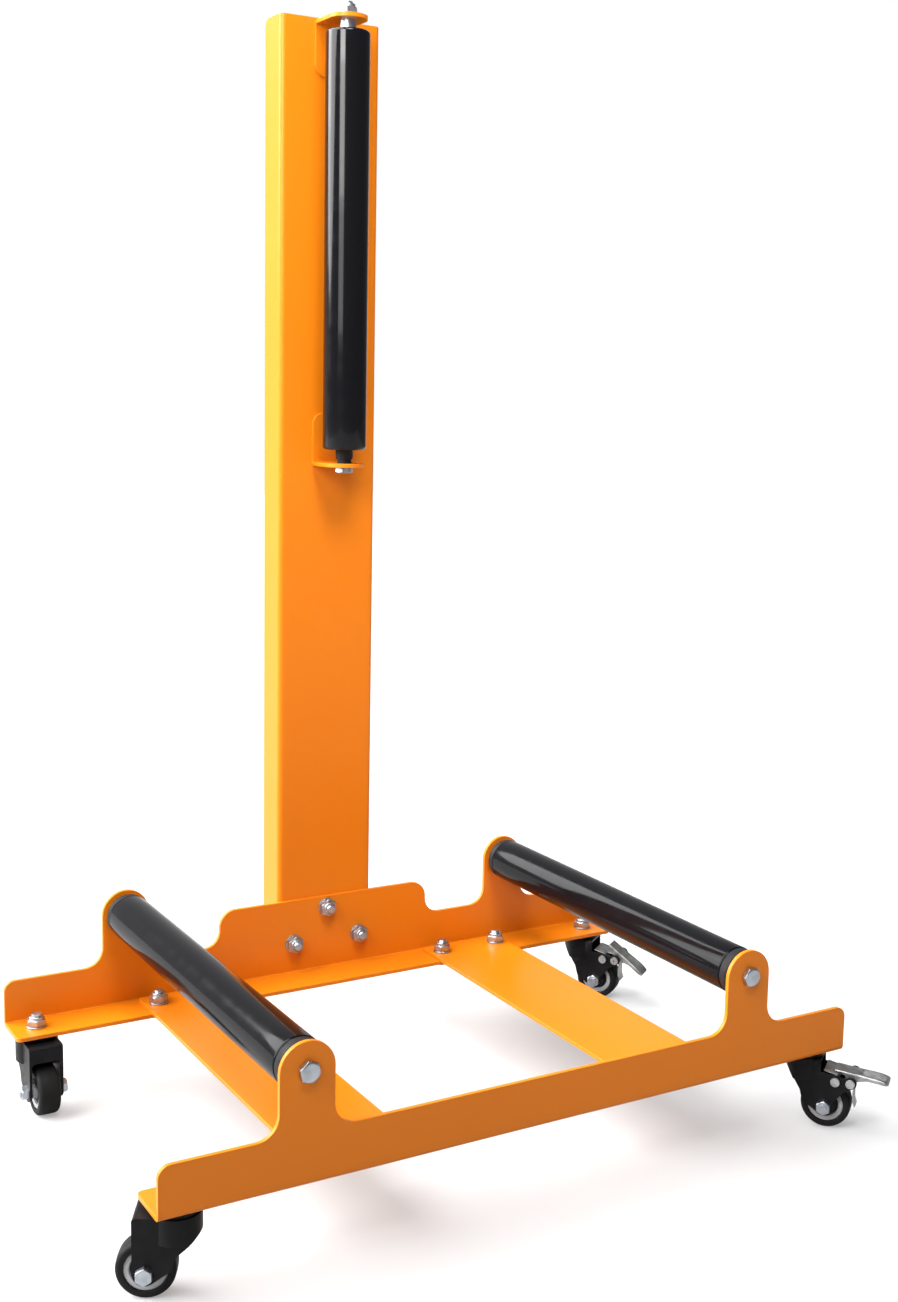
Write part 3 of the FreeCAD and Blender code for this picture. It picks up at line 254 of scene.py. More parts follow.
MATERIALS = {
    "orange_powder_coat": powder_coat(),
    "gloss_black_roller": gloss_black("gloss_black_roller", coat=0.15, specular=0.2),
    "worn_black_roller": gloss_black("worn_black_roller", coat=0.05, specular=0.07),
    "matte_black_cap": matt_black("matte_black_cap", (0.012, 0.012, 0.013), rough=(0.42, 0.56),
                                  grain=900, depth=0.05 * MM),
    "black_caster_steel": matt_black("black_caster_steel", (0.006, 0.006, 0.0066),
                                     rough=(0.30, 0.42), grain=800, depth=0.05 * MM),
    "black_tread": matt_black("black_tread", (0.008, 0.008, 0.008), rough=(0.46, 0.62),
                              grain=1300, depth=0.06 * MM),
    "black_sleeve": matt_black("black_sleeve", (0.012, 0.012, 0.012), rough=(0.34, 0.46),
                               grain=900, depth=0.04 * MM),
    "grey_rim": grey_rim(),
    "zinc_fastener": plated_steel("zinc_fastener", dull=(0.36, 0.39, 0.43),
                                  bright=(0.52, 0.55, 0.59), rough=(0.30, 0.44)),
    "rivet_steel": plated_steel("rivet_steel", dull=(0.38, 0.38, 0.39),
                                bright=(0.58, 0.58, 0.58), rough=(0.24, 0.4)),
    "bearing_steel": plated_steel("bearing_steel", dull=(0.55, 0.55, 0.56),
                                  bright=(0.7, 0.7, 0.7), rough=(0.14, 0.22)),
    "pressed_steel_pedal": plated_steel("pressed_steel_pedal", dull=(0.26, 0.265, 0.265),
                                        bright=(0.50, 0.505, 0.50), rough=(0.40, 0.56), scale=500),
    "spring_steel": plated_steel("spring_steel", dull=(0.30, 0.305, 0.305),
                                 bright=(0.50, 0.505, 0.50), rough=(0.44, 0.58)),
    "nylon_insert": nylon(),
}


# ------------------------------------------------------------------ mesh helpers
SHARP_ANGLE = math.radians(35)
SOLID_WELD = 0.01 * MM       # corners closer than this belong to one solid


def add_piece(name, mesh, body, slot, material=None, replaced=()):
    """Put a mesh in the scene, riding on a body, with its material and what it stands for."""
    piece = bpy.data.objects.new(name, mesh)
    bpy.context.scene.collection.objects.link(piece)
    mesh.materials.append(MATERIALS[material or slot])
    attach(piece, body)
    if replaced:
        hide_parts(*replaced)
    return piece


def shade(mesh):
    """Smooth shading that stays sharp at steep edges."""
    mesh.polygons.foreach_set("use_smooth", [True] * len(mesh.polygons))
    mesh.set_sharp_from_angle(angle=SHARP_ANGLE)


def mesh_from(name, rings, closed_loop=False):
    """A mesh skinned over rings of points; a closed loop joins its ends, otherwise they are capped."""
    count = len(rings[0])
    vertices = [point for ring in rings for point in ring]
    faces = []
    steps = len(rings) if closed_loop else len(rings) - 1
    for i in range(steps):
        here = i * count
        there = (i + 1) % len(rings) * count
        for k in range(count):
            after = (k + 1) % count
            faces.append((here + k, here + after, there + after, there + k))
    if not closed_loop:
        faces.append(tuple(reversed(range(count))))
        last = (len(rings) - 1) * count
        faces.append(tuple(last + k for k in range(count)))
    mesh = bpy.data.meshes.new(name)
    mesh.from_pydata(vertices, [], faces)
    mesh.update()
    return mesh


def turned(name, profile, segments=96):
    """A mesh turned about the z axis from a closed loop of (radius, height) points."""
    angles = [2 * math.pi * k / segments for k in range(segments)]
    rings = [[(radius * math.cos(a), radius * math.sin(a), height) for a in angles]
             for radius, height in profile]
    return mesh_from(name, rings, closed_loop=True)


def corner_arc(centre, radius, start, stop, steps=8):
    """Points of a rounded corner in a (radius, height) profile; angles in degrees."""
    angles = [math.radians(start + (stop - start) * i / steps) for i in range(steps + 1)]
    return [(centre[0] + radius * math.cos(a), centre[1] + radius * math.sin(a)) for a in angles]


def along(axis, base, turn=0.0):
    """The matrix that takes the z axis to an axis through a base point."""
    rotation = Vector(axis).to_track_quat("Z", "Y").to_matrix().to_4x4()
    return Matrix.Translation(base) @ rotation @ Matrix.Rotation(turn, 4, "Z")


def joined(name, copies):
    """One mesh made of (mesh, matrix) copies."""
    work = bmesh.new()
    for mesh, matrix in copies:
        copy = mesh.copy()
        copy.transform(matrix)
        work.from_mesh(copy)
        bpy.data.meshes.remove(copy)
    bmesh.ops.recalc_face_normals(work, faces=work.faces)
    result = bpy.data.meshes.new(name)
    work.to_mesh(result)
    work.free()
    shade(result)
    return result


def islands(node):
    """The lowest and highest corner of each separate solid of a CAD node."""
    work = bmesh.new()
    work.from_mesh(frame["nodes"][node].data)
    bmesh.ops.remove_doubles(work, verts=work.verts, dist=SOLID_WELD)
    unseen = set(work.verts)
    boxes = []
    while unseen:
        stack = [unseen.pop()]
        points = []
        while stack:
            vertex = stack.pop()
            points.append(vertex.co.copy())
            for edge in vertex.link_edges:
                other = edge.other_vert(vertex)
                if other in unseen:
                    unseen.remove(other)
                    stack.append(other)
        low = Vector([min(p[i] for p in points) for i in range(3)])
        high = Vector([max(p[i] for p in points) for i in range(3)])
        boxes.append((low, high))
    work.free()
    boxes.sort(key=lambda box: tuple(round(value, 4) for value in box[0]))
    return boxes


def end_point(box, axis):
    """The middle of a box's face that an axis enters through."""
    low, high = box
    centre = (low + high) / 2
    half = (high - low) / 2
    return centre - Vector([axis[i] * half[i] for i in range(3)])


# ------------------------------------------------------------------ fasteners
BOLT_RADIUS = 5 * MM
THREAD_PITCH = 1.5 * MM
THREAD_DEPTH = 0.55 * MM
HEX_FLAT = 8.5 * MM
HEAD_HEIGHT = 6.4 * MM
HEAD_CROWN = 0.95            # share of the flat where the chamfer ends
NUT_HEIGHT = 6.6 * MM
COLLAR_HEIGHT = 3 * MM
COLLAR_RADIUS = 7.2 * MM
WASHER_RADIUS = 10 * MM
WASHER_HEIGHT = 2 * MM
THREAD_SHOWN = 6 * MM        # cut thread at the end of a bolt
TIP_LENGTH = 0.9 * MM        # cone at the end of a thread
RINGS_PER_PITCH = 10
SIDES = 72


def hexagon_radius(angle, flat):
    """Distance from the middle of a hexagon to its outline."""
    within = (angle + math.pi / 6) % (math.pi / 3) - math.pi / 6
    return flat / math.cos(within)


def hex_ring(height, flat, limit):
    """A ring of a hexagon that is cut back to a circle."""
    angles = [2 * math.pi * k / SIDES for k in range(SIDES)]
    radii = [min(hexagon_radius(a, flat), limit) for a in angles]
    return [(r * math.cos(a), r * math.sin(a), height) for r, a in zip(radii, angles)]


def round_ring(height, radius):
    """A ring of a circle, with as many points as a hexagon's."""
    angles = [2 * math.pi * k / SIDES for k in range(SIDES)]
    return [(radius * math.cos(a), radius * math.sin(a), height) for a in angles]


def thread_rings(low, high):
    """Rings that follow a screw thread, fading into a cone at the tip."""
    rings = []
    steps = max(6, round((high - low) / THREAD_PITCH * RINGS_PER_PITCH))
    for i in range(steps + 1):
        height = low + (high - low) * i / steps
        fade = min(1.0, (high - height) / TIP_LENGTH)
        ring = []
        for k in range(SIDES):
            angle = 2 * math.pi * k / SIDES
            phase = (height / THREAD_PITCH - k / SIDES) % 1
            dip = THREAD_DEPTH * (1 - abs(2 * phase - 1)) * (0.3 + 0.7 * fade)
            r = BOLT_RADIUS - dip - (1 - fade) * TIP_LENGTH
            ring.append((r * math.cos(angle), r * math.sin(angle), height))
        rings.append(ring)
    return rings


def chamfered_hexagon(flat, low, high):
    """Rings of a hexagon prism whose corners are turned off by a cone at the high end."""
    corner = flat / math.cos(math.pi / 6)
    crown = flat * HEAD_CROWN
    bevel = (corner - crown) * math.tan(math.radians(30))
    rings = [hex_ring(low, flat, flat * 0.97), hex_ring(low + 0.25 * MM, flat, flat * 1.03)]
    rings.append(hex_ring(low + 0.7 * MM, flat, corner))
    steps = 7
    for i in range(steps + 1):
        share = i / steps
        rings.append(hex_ring(high - bevel * (1 - share), flat, corner + (crown - corner) * share))
    return rings


def bolt_mesh(name, length):
    """A hex bolt: head below z = 0, shank up to a length, thread on its visible end."""
    head = chamfered_hexagon(HEX_FLAT, 0.5 * MM, HEAD_HEIGHT - 0.25 * MM)
    head.append(round_ring(HEAD_HEIGHT - 0.05 * MM, HEX_FLAT * 0.9))
    head.append(round_ring(HEAD_HEIGHT, HEX_FLAT * 0.84))
    head = [[(x, y, -z) for x, y, z in ring] for ring in reversed(head)]
    head += [round_ring(-0.5 * MM, HEX_FLAT * 0.93), round_ring(0, HEX_FLAT * 0.93)]
    shank = [round_ring(0, BOLT_RADIUS - 0.05 * MM)]
    return mesh_from(name, head + shank + thread_rings(length - THREAD_SHOWN, length))


def nut_mesh(name):
    """A lock nut on z = 0: hexagon below, rolled collar above."""
    rings = chamfered_hexagon(HEX_FLAT, 0, NUT_HEIGHT)
    top = NUT_HEIGHT + COLLAR_HEIGHT
    roll = 1.1 * MM
    rings.append(round_ring(NUT_HEIGHT + 0.1 * MM, COLLAR_RADIUS))
    for radius, height in corner_arc((COLLAR_RADIUS - roll, top - roll), roll, 0, 90, 6):
        rings.append(round_ring(height, radius))
    rings.append(round_ring(top - 0.3 * MM, COLLAR_RADIUS - roll - 0.5 * MM))
    rings.append(round_ring(top - 1.2 * MM, COLLAR_RADIUS - roll - 0.6 * MM))
    rings.append(round_ring(top - 1.2 * MM, BOLT_RADIUS + 0.02 * MM))
    rings.append(round_ring(0, BOLT_RADIUS + 0.02 * MM))
    return mesh_from(name, rings, closed_loop=True)


def insert_mesh(name):
    """The nylon ring inside a lock nut's collar."""
    top = NUT_HEIGHT + COLLAR_HEIGHT
    outside = COLLAR_RADIUS - 1.75 * MM
    profile = [(BOLT_RADIUS + 0.03 * MM, top - 1.15 * MM), (outside, top - 1.15 * MM),
               (outside, top - 0.75 * MM), (BOLT_RADIUS + 0.03 * MM, top - 0.65 * MM)]
    return turned(name, profile, 64)


def washer_mesh(name):
    """A plain washer on z = 0, stamped with soft outer edges."""
    soft = 0.35 * MM
    hole = BOLT_RADIUS + 0.25 * MM
    flat = WASHER_RADIUS - soft
    profile = [(hole, 0), (flat, 0)]
    profile += corner_arc((flat, soft), soft, -90, 0, 4)
    profile += corner_arc((flat, WASHER_HEIGHT - soft), soft, 0, 90, 4)
    profile += [(hole + soft, WASHER_HEIGHT), (hole, WASHER_HEIGHT - soft)]
    return turned(name, profile)


FLANGE_NUTS_BELOW = 0.105    # nuts on the flanges of the rails are lower than this
ROLLER_NUT_ABOVE = 0.5       # the nut of the mast roller's bolt is higher than this


def nut_axis(box):
    """Nuts on the flanges and on the mast roller's bolt point up, those on the mast's web forwards."""
    low, high = box
    upright = high.z < FLANGE_NUTS_BELOW or low.z > ROLLER_NUT_ABOVE
    return UP if upright else -BACK


def nut_seats(node):
    """Each nut's or washer's axis and the middle of the face it stands on, for a CAD node."""
    return [(nut_axis(box), end_point(box, nut_axis(box))) for box in islands(node)]


def add_fasteners(name, mesh, places, material=None, replaced=()):
    """A piece on the chassis made of one fastener's mesh at several places."""
    copies = joined(name, [(mesh, place) for place in places])
    add_piece(name, copies, "chassis", "zinc_fastener", material, replaced)


def build_nuts():
    """Nuts, their nylon inserts and their washers, wherever the CAD model has one."""
    for node in ("cross_plate", "mast", "caster_stem"):
        places = [along(axis, seat, random.uniform(0, math.pi / 3))
                  for axis, seat in nut_seats(f"{node}_nuts")]
        add_fasteners(f"{node}_lock_nuts", nut_mesh("nut"), places, replaced=[f"{node}_nuts"])
        add_fasteners(f"{node}_nut_inserts", insert_mesh("insert"), places, "nylon_insert")
        places = [along(axis, seat) for axis, seat in nut_seats(f"{node}_washers")]
        add_fasteners(f"{node}_plain_washers", washer_mesh("washer"), places,
                      replaced=[f"{node}_washers"])


def bolt_axis(node, box):
    """The direction from a bolt's head along its shank."""
    if node in ("cross_plate_bolts", "mast_roller_bolt"):
        return UP
    if node == "mast_bolts":
        return -BACK
    return BACK if box[0].y < 0 else -BACK


def build_bolts():
    """Hex bolts wherever the CAD model has one, each turned by chance about its axis."""
    for node in ("cross_plate_bolts", "mast_bolts", "roller_shaft_bolts", "mast_roller_bolt"):
        copies = []
        for box in islands(node):
            axis = bolt_axis(node, box)
            seat = end_point(box, axis) + axis * HEAD_HEIGHT
            length = abs((box[1] - box[0]).dot(axis)) - HEAD_HEIGHT
            turn = random.uniform(0, math.pi / 3)
            copies.append((bolt_mesh("bolt", length), along(axis, seat, turn)))
        add_piece(f"{node}_hex", joined(f"{node}_hex", copies), "chassis", "zinc_fastener",
                  replaced=[node])


# ------------------------------------------------------------------ rollers
ROLLER_RADIUS = 23 * MM
ROLLER_BORE = 19.5 * MM
SHOULDER = 3.2 * MM


def roller_mesh(name, length):
    """A tube with a smooth rounded shoulder at each end."""
    inner = ROLLER_RADIUS - SHOULDER
    profile = [(ROLLER_BORE, 0), (inner, 0)]
    profile += corner_arc((inner, SHOULDER), SHOULDER, -90, 0, 10)
    profile += [(ROLLER_RADIUS, length * i / 12) for i in range(1, 12)]
    profile += corner_arc((inner, length - SHOULDER), SHOULDER, 0, 90, 10)
    profile.append((ROLLER_BORE, length))
    return turned(name, profile, 160)


def build_rollers():
    """Smooth tubes in place of the CAD tubes; the side rollers, which carry tyres, are duller."""
    for side in ("left", "right", "mast"):
        node = f"{side}_roller_tube"
        low, high = (Vector(corner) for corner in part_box(node))
        axis = UP if side == "mast" else BACK
        length = (high - low).dot(axis)
        mesh = roller_mesh(f"{side}_roller_skin", length)
        mesh.transform(along(axis, end_point((low, high), axis)))
        shade(mesh)
        add_piece(f"{side}_roller_skin", mesh, f"{side}_roller", "gloss_black_roller",
                  material="gloss_black_roller" if side == "mast" else "worn_black_roller",
                  replaced=[node])


# ------------------------------------------------------------------ casters
WHEEL_RADIUS = 25 * MM
TREAD_HALF = 11 * MM
RIM_RADIUS = 18 * MM
HUB_BORE = 5.06 * MM
CORNERS = ("front_left", "front_right", "rear_left", "rear_right")


def both_faces(half):
    """A profile for one half of a wheel, completed with its mirror image."""
    return half + [(radius, -height) for radius, height in reversed(half)]


def tread_mesh(name):
    """Moulded tread: crowned, round shoulders, a step to the rim and a fine parting line."""
    shoulder = 4 * MM
    crown = 0.25 * MM
    half = [(RIM_RADIUS, TREAD_HALF - 0.6 * MM), (RIM_RADIUS + 0.5 * MM, TREAD_HALF),
            (RIM_RADIUS + 1.6 * MM, TREAD_HALF)]
    centre = (WHEEL_RADIUS - crown - shoulder, TREAD_HALF - shoulder)
    half += corner_arc(centre, shoulder, 90, 0, 10)
    half += [(WHEEL_RADIUS - 0.1 * MM, 3.5 * MM), (WHEEL_RADIUS - 0.02 * MM, 0.35 * MM),
             (WHEEL_RADIUS, 0.15 * MM)]
    return turned(name, both_faces(half), 128)


def rim_mesh(name):
    """Dished rim: raised ring by the tread, recessed web and a stepped hub."""
    face = 9.5 * MM
    web = 4.6 * MM
    half = [(HUB_BORE, 13 * MM), (6.6 * MM, 13 * MM), (7.0 * MM, 12.7 * MM),
            (7.4 * MM, web + 1.5 * MM), (8.6 * MM, web), (11.4 * MM, web), (12.4 * MM, web + 0.8 * MM),
            (13.0 * MM, face - 0.6 * MM), (13.8 * MM, face), (17.2 * MM, face),
            (17.8 * MM, face - 0.5 * MM), (RIM_RADIUS, face - 0.5 * MM)]
    return turned(name, both_faces(half))


def recess_shade_mesh(name):
    """Black discs that close the recess between hub and rim on both faces: painted shade where the recess lies in
    shadow.
    """
    face = 6.6 * MM
    profile = [(6.75 * MM, face + 1.2 * MM), (7.6 * MM, face + 1.6 * MM), (8.6 * MM, face + 1.5 * MM),
               (9.4 * MM, face + 0.9 * MM), (12.3 * MM, face + 0.6 * MM), (12.9 * MM, face),
               (12.2 * MM, face - 0.4 * MM), (7.3 * MM, face - 0.3 * MM)]
    outer = turned(name, profile)
    return joined(name, [(outer, Matrix()), (outer, Matrix.Scale(-1, 4, UP))])


def build_wheels():
    """A moulded tread, a dished rim and black discs of painted shade in the rim's recesses, on each caster's wheel
    axis.
    """
    for corner in CORNERS:
        joint = joints[f"{corner}_wheel_spin"]
        place = along(joint["axis"], joint["pos_m"])
        for part, slot, make in (("tread", "black_tread", tread_mesh), ("rim", "grey_rim", rim_mesh)):
            name = f"{corner}_{part}_moulded"
            mesh = make(name)
            mesh.transform(place)
            shade(mesh)
            add_piece(name, mesh, f"{corner}_wheel", slot, replaced=[f"{corner}_wheel_{part}"])
        # Painted shade: black discs fill the rim's recesses, which lie in shadow.
        recess_shade = recess_shade_mesh(f"{corner}_recess_shade_discs")
        recess_shade.transform(place)
        add_piece(f"{corner}_recess_shade_discs", recess_shade, f"{corner}_wheel", "matte_black_cap")


# ------------------------------------------------------------------ foot levers
# A lever is drawn level: x runs from the pivot to its tip, y along the pivot and z up.
BRAKED = {"front_right": 4.0, "rear_right": 33.0}    # corner and its lever's resting angle in degrees
PEDAL_BACK = -17 * MM
PEDAL_FRONT = 36 * MM
PEDAL_TOP = 7.3 * MM
PEDAL_SLOPE = 0.024          # rise of the flat towards its back end
PEDAL_SHEET = 1.6 * MM
PEDAL_ROOF = 1.4 * PEDAL_SHEET    # the flat's thickness, deep enough for the ribs and the droop
PEDAL_SKIRT = 4.2 * MM
BACK_SKIRT = 0.35            # depth of the skirt behind the pivot, as a share of the skirt
PEDAL_ROLL = 1.5 * MM
PEDAL_FLARE = 1.0 * MM       # extra half width at the tip
PEDAL_CORNER = 4.5 * MM      # radius of the tip's corners, seen from above
PEDAL_DROOP = 1.2 * MM       # fall of the flat at the tip
RIB_DEPTH = 0.7 * MM
RIB_PITCH = 3.6 * MM
RIBS_HALF_WIDTH = 8 * MM
CHEEK_RADIUS = 4.6 * MM
CHEEK_SHEET = 1.7 * MM
CHEEK_OUTSIDE = 10 * MM
CHEEK_BACK = -9 * MM
CHEEK_FRONT = 24 * MM
CHEEK_SOFT_EDGE = 0.25 * MM


def smooth_step(value, low, high):
    """A smooth ramp from nought at low to one at high."""
    share = min(1.0, max(0.0, (value - low) / (high - low)))
    return share * share * (3 - 2 * share)


def pedal_roof(x):
    """Height of the lever's flat, which rises a little towards its back end."""
    return PEDAL_TOP + PEDAL_SLOPE * (PEDAL_FRONT - x)


def pedal_half_width(x):
    """Half the lever's width: straight over the fork, flared towards a round-cornered tip."""
    half = CHEEK_OUTSIDE + PEDAL_FLARE * smooth_step(x, 4 * MM, 26 * MM)
    past = max(0.0, x - (PEDAL_FRONT - PEDAL_CORNER))
    return half - PEDAL_CORNER + math.sqrt(max(0.0, PEDAL_CORNER * PEDAL_CORNER - past * past))


def pedal_height(x, y):
    """The lever's top: three pressed ribs along the paddle and a slight droop at the tip."""
    ribbed = smooth_step(x, 6 * MM, 10 * MM) * smooth_step(PEDAL_FRONT - 3 * MM - x, 0, 3 * MM)
    inside = smooth_step(RIBS_HALF_WIDTH - abs(y), 0, 1.5 * MM)
    wave = (1 + math.cos(2 * math.pi * y / RIB_PITCH)) / 2
    droop = PEDAL_DROOP * smooth_step(x, 24 * MM, PEDAL_FRONT)
    return pedal_roof(x) - droop - RIB_DEPTH * (1 - wave) * ribbed * inside


def pedal_ring(x):
    """One cross-section of the lever: an inverted channel with rolled corners."""
    steps = 48
    half = pedal_half_width(x)
    depth = BACK_SKIRT + (1 - BACK_SKIRT) * smooth_step(x, 0, 12 * MM)
    hem = pedal_roof(x) - PEDAL_SKIRT * depth
    outer = [(-half, hem)]
    for y, z in corner_arc((PEDAL_ROLL - half, -PEDAL_ROLL), PEDAL_ROLL, 180, 90, 5):
        outer.append((y, pedal_height(x, y) + z))
    flat = half - PEDAL_ROLL
    across = [-flat + 2 * flat * i / steps for i in range(1, steps)]
    outer += [(y, pedal_height(x, y)) for y in across]
    for y, z in corner_arc((half - PEDAL_ROLL, -PEDAL_ROLL), PEDAL_ROLL, 90, 0, 5):
        outer.append((y, pedal_height(x, y) + z))
    outer.append((half, hem))
    narrow = (half - PEDAL_SHEET) / half
    closed = smooth_step(x, PEDAL_FRONT - PEDAL_SHEET - 0.2 * MM, PEDAL_FRONT - PEDAL_SHEET)
    inner = []
    for y, z in reversed(outer):
        roof = min(z, pedal_roof(x) - PEDAL_ROOF) if z > hem else z
        inner.append((y * narrow, roof + (hem - roof) * closed))
    return [(x, y, z) for y, z in outer + inner]


def cheek_mesh(name, low, high):
    """A side ear of the lever: round about the pivot and widening up to the plate."""
    outline = [(CHEEK_BACK, pedal_roof(CHEEK_BACK) - PEDAL_SHEET)]
    outline += corner_arc((0, 0), CHEEK_RADIUS, -180, 0, 20)
    outline.append((CHEEK_FRONT, pedal_roof(CHEEK_FRONT) - PEDAL_SHEET))
    middle = (5 * MM, PEDAL_TOP / 2 - PEDAL_SHEET)
    soft = CHEEK_SOFT_EDGE
    rings = []
    for y, inset in ((low, soft), (low + soft, 0), (high - soft, 0), (high, soft)):
        ring = []
        for x, z in outline:
            far = math.hypot(x - middle[0], z - middle[1])
            keep = (far - inset) / far
            ring.append((middle[0] + (x - middle[0]) * keep, y, middle[1] + (z - middle[1]) * keep))
        rings.append(ring)
    return mesh_from(name, rings)


def pedal_mesh(name):
    """The whole foot lever, level, with its pivot on the y axis."""
    steps = 72
    span = PEDAL_FRONT - PEDAL_BACK
    places = [PEDAL_BACK + span * math.sin(math.pi / 2 * i / steps) for i in range(steps + 1)]
    plate = mesh_from(f"{name}_plate", [pedal_ring(x) for x in places])
    inside = CHEEK_OUTSIDE - CHEEK_SHEET
    ears = [cheek_mesh(f"{name}_ear", low, high)
            for low, high in ((-CHEEK_OUTSIDE, -inside), (inside, CHEEK_OUTSIDE))]
    return joined(name, [(plate, Matrix())] + [(ear, Matrix()) for ear in ears])


def pivot_place(corner):
    """The matrix that takes x away from the stem and y along the pivot of a braked caster."""
    joint = joints[f"{corner}_brake_pedal_hinge"]
    side = Vector(joint["axis"]).normalized()
    axes = Matrix((side.cross(UP), side, UP)).transposed().to_4x4()
    return Matrix.Translation(joint["pos_m"]) @ axes


def build_pedals():
    """Detailed foot levers at the place and resting angle of the CAD model's levers."""
    for corner, angle in BRAKED.items():
        name = f"{corner}_foot_lever"
        mesh = pedal_mesh(name)
        mesh.transform(pivot_place(corner) @ Matrix.Rotation(math.radians(angle), 4, "Y"))
        add_piece(name, mesh, f"{corner}_pedal", "pressed_steel_pedal",
                  replaced=[f"{corner}_brake_pedal"])


# ------------------------------------------------------------------ brake strips and fork edges
# Points are (x, z) from the pivot: x away from the caster's stem, z up.
STRIP_SHEET = 1.2 * MM
STRIP_WRAP = 3.7 * MM        # radius of the strip's middle round the pivot
STRIP_HALF = 7.5 * MM
TAIL_HALF = 14.1 * MM
TAIL_POINTS = [(-27 * MM, 8.6 * MM), (-13.5 * MM, 5.4 * MM)]
PAD_POINTS = [(1.8 * MM, -12 * MM), (1.8 * MM, -21.5 * MM), (3.8 * MM, -28 * MM)]
BOSS_RADIUS = 6 * MM
CROWN_STEP = -29.9 * MM      # where the fork's rear edges step down behind its crown
EDGE_POINTS = [(CROWN_STEP, 6.8 * MM), (-7.5 * MM, 3.8 * MM)]
NOTCH_FRONT = -0.5 * MM
NOTCH_TOP = 30 * MM
NOTCH_HALF = 20 * MM
FORK_WELD = 0.001 * MM       # corners of the CAD mesh closer than this are joined


def strip_mesh(name, points, half):
    """A flat strip of sheet along a line of (x, z) points, rounded over its long edges."""
    rings = []
    thick = STRIP_SHEET / 2
    soft = STRIP_SHEET / 3
    section = [(-half, -soft), (-half, soft), (soft - half, thick), (half - soft, thick),
               (half, soft), (half, -soft), (half - soft, -thick), (soft - half, -thick)]
    for i, (x, z) in enumerate(points):
        before = Vector(points[max(i - 1, 0)])
        after = Vector(points[min(i + 1, len(points) - 1)])
        run = (after - before).normalized()
        normal = Vector((-run.y, run.x))
        rings.append([(x + normal.x * up, across, z + normal.y * up) for across, up in section])
    return mesh_from(name, rings)


def build_brake_strips():
    """Spring strips: a wide tail between the cheeks, a wrap over the pivot and a hanging pad."""
    for corner in BRAKED:
        name = f"{corner}_brake_strip"
        wrap = corner_arc((0, 0), STRIP_WRAP, 110, 10, 8)
        tail = strip_mesh("tail", TAIL_POINTS, TAIL_HALF)
        strip = strip_mesh("strip", TAIL_POINTS[1:] + wrap + PAD_POINTS, STRIP_HALF)
        mesh = joined(name, [(tail, Matrix()), (strip, Matrix())])
        mesh.transform(pivot_place(corner))
        add_piece(name, mesh, f"{corner}_swivel", "spring_steel",
                  replaced=[f"{corner}_brake_shoe"])


def notch_mesh(name):
    """The space above the rear edges of a braked fork: it slopes to the pivot's round boss."""
    outline = [(CROWN_STEP, NOTCH_TOP)] + EDGE_POINTS
    outline += corner_arc((0, 0), BOSS_RADIUS, 140, 95, 6)
    outline.append((NOTCH_FRONT, NOTCH_TOP))
    block = mesh_from(name, [[(x, y, z) for x, z in outline] for y in (-NOTCH_HALF, NOTCH_HALF)])
    return joined(name, [(block, Matrix())])


def welded_copy(node):
    """A copy of a CAD node's mesh in which neighbouring faces share their corners."""
    work = bmesh.new()
    work.from_mesh(frame["nodes"][node].data)
    bmesh.ops.remove_doubles(work, verts=work.verts, dist=FORK_WELD)
    mesh = bpy.data.meshes.new(node)
    work.to_mesh(mesh)
    work.free()
    return mesh


def trim_forks():
    """Braked forks whose rear edges step down behind the crown."""
    for corner in BRAKED:
        node = f"{corner}_fork"
        name = f"{corner}_stepped_fork"
        piece = add_piece(name, welded_copy(node), f"{corner}_swivel",
                          "black_caster_steel", replaced=[node])
        notch = notch_mesh("notch")
        notch.transform(pivot_place(corner))
        cutter = bpy.data.objects.new("notch", notch)
        bpy.context.scene.collection.objects.link(cutter)
        cut = piece.modifiers.new("notch", "BOOLEAN")
        cut.operation = "DIFFERENCE"
        cut.solver = "EXACT"
        cut.object = cutter
        depsgraph = bpy.context.evaluated_depsgraph_get()
        shaped = bpy.data.meshes.new_from_object(piece.evaluated_get(depsgraph))
        piece.modifiers.clear()
        piece.data = shaped
        bpy.data.objects.remove(cutter)
        shade(shaped)


# ------------------------------------------------------------------ CAD nodes that stay
def dress_cad_nodes():
    """Give every CAD node the material of its slot."""
    slots = {part["node"]: part["material_slot"] for part in frame["record"]["subparts"]}
    for name, item in frame["nodes"].items():
        item.data.materials.clear()
        item.data.materials.append(MATERIALS[slots[name]])


# ------------------------------------------------------------------ stage
FLOOR_REACH = 9.0


def add_floor():
    """A square floor round the origin."""
    mesh = bpy.data.meshes.new("floor")
    corners = [(x * FLOOR_REACH, y * FLOOR_REACH, 0) for x, y in ((-1, -1), (1, -1), (1, 1), (-1, 1))]
    mesh.from_pydata(corners, [], [(0, 1, 2, 3)])
    floor = bpy.data.objects.new("floor", mesh)
    bpy.context.scene.collection.objects.link(floor)
    mesh.materials.append(pale_floor())


def add_light(name, place, target, size, power, spread_angle):
    """A rectangular softbox that faces a target; its grid narrows it to an angle in degrees."""
    data = bpy.data.lights.new(name, "AREA")
    data.shape = "RECTANGLE"
    data.size, data.size_y = size
    data.energy = power
    data.spread = math.radians(spread_angle)
    light = bpy.data.objects.new(name, data)
    light.location = place
    light.rotation_euler = (Vector(target) - Vector(place)).to_track_quat("-Z", "Y").to_euler()
    bpy.context.scene.collection.objects.link(light)


PANEL_HEIGHT = 0.3
PANEL_GRADE = 1.6            # how quickly the panels dim towards the bottom
PANEL_SPREAD = 90


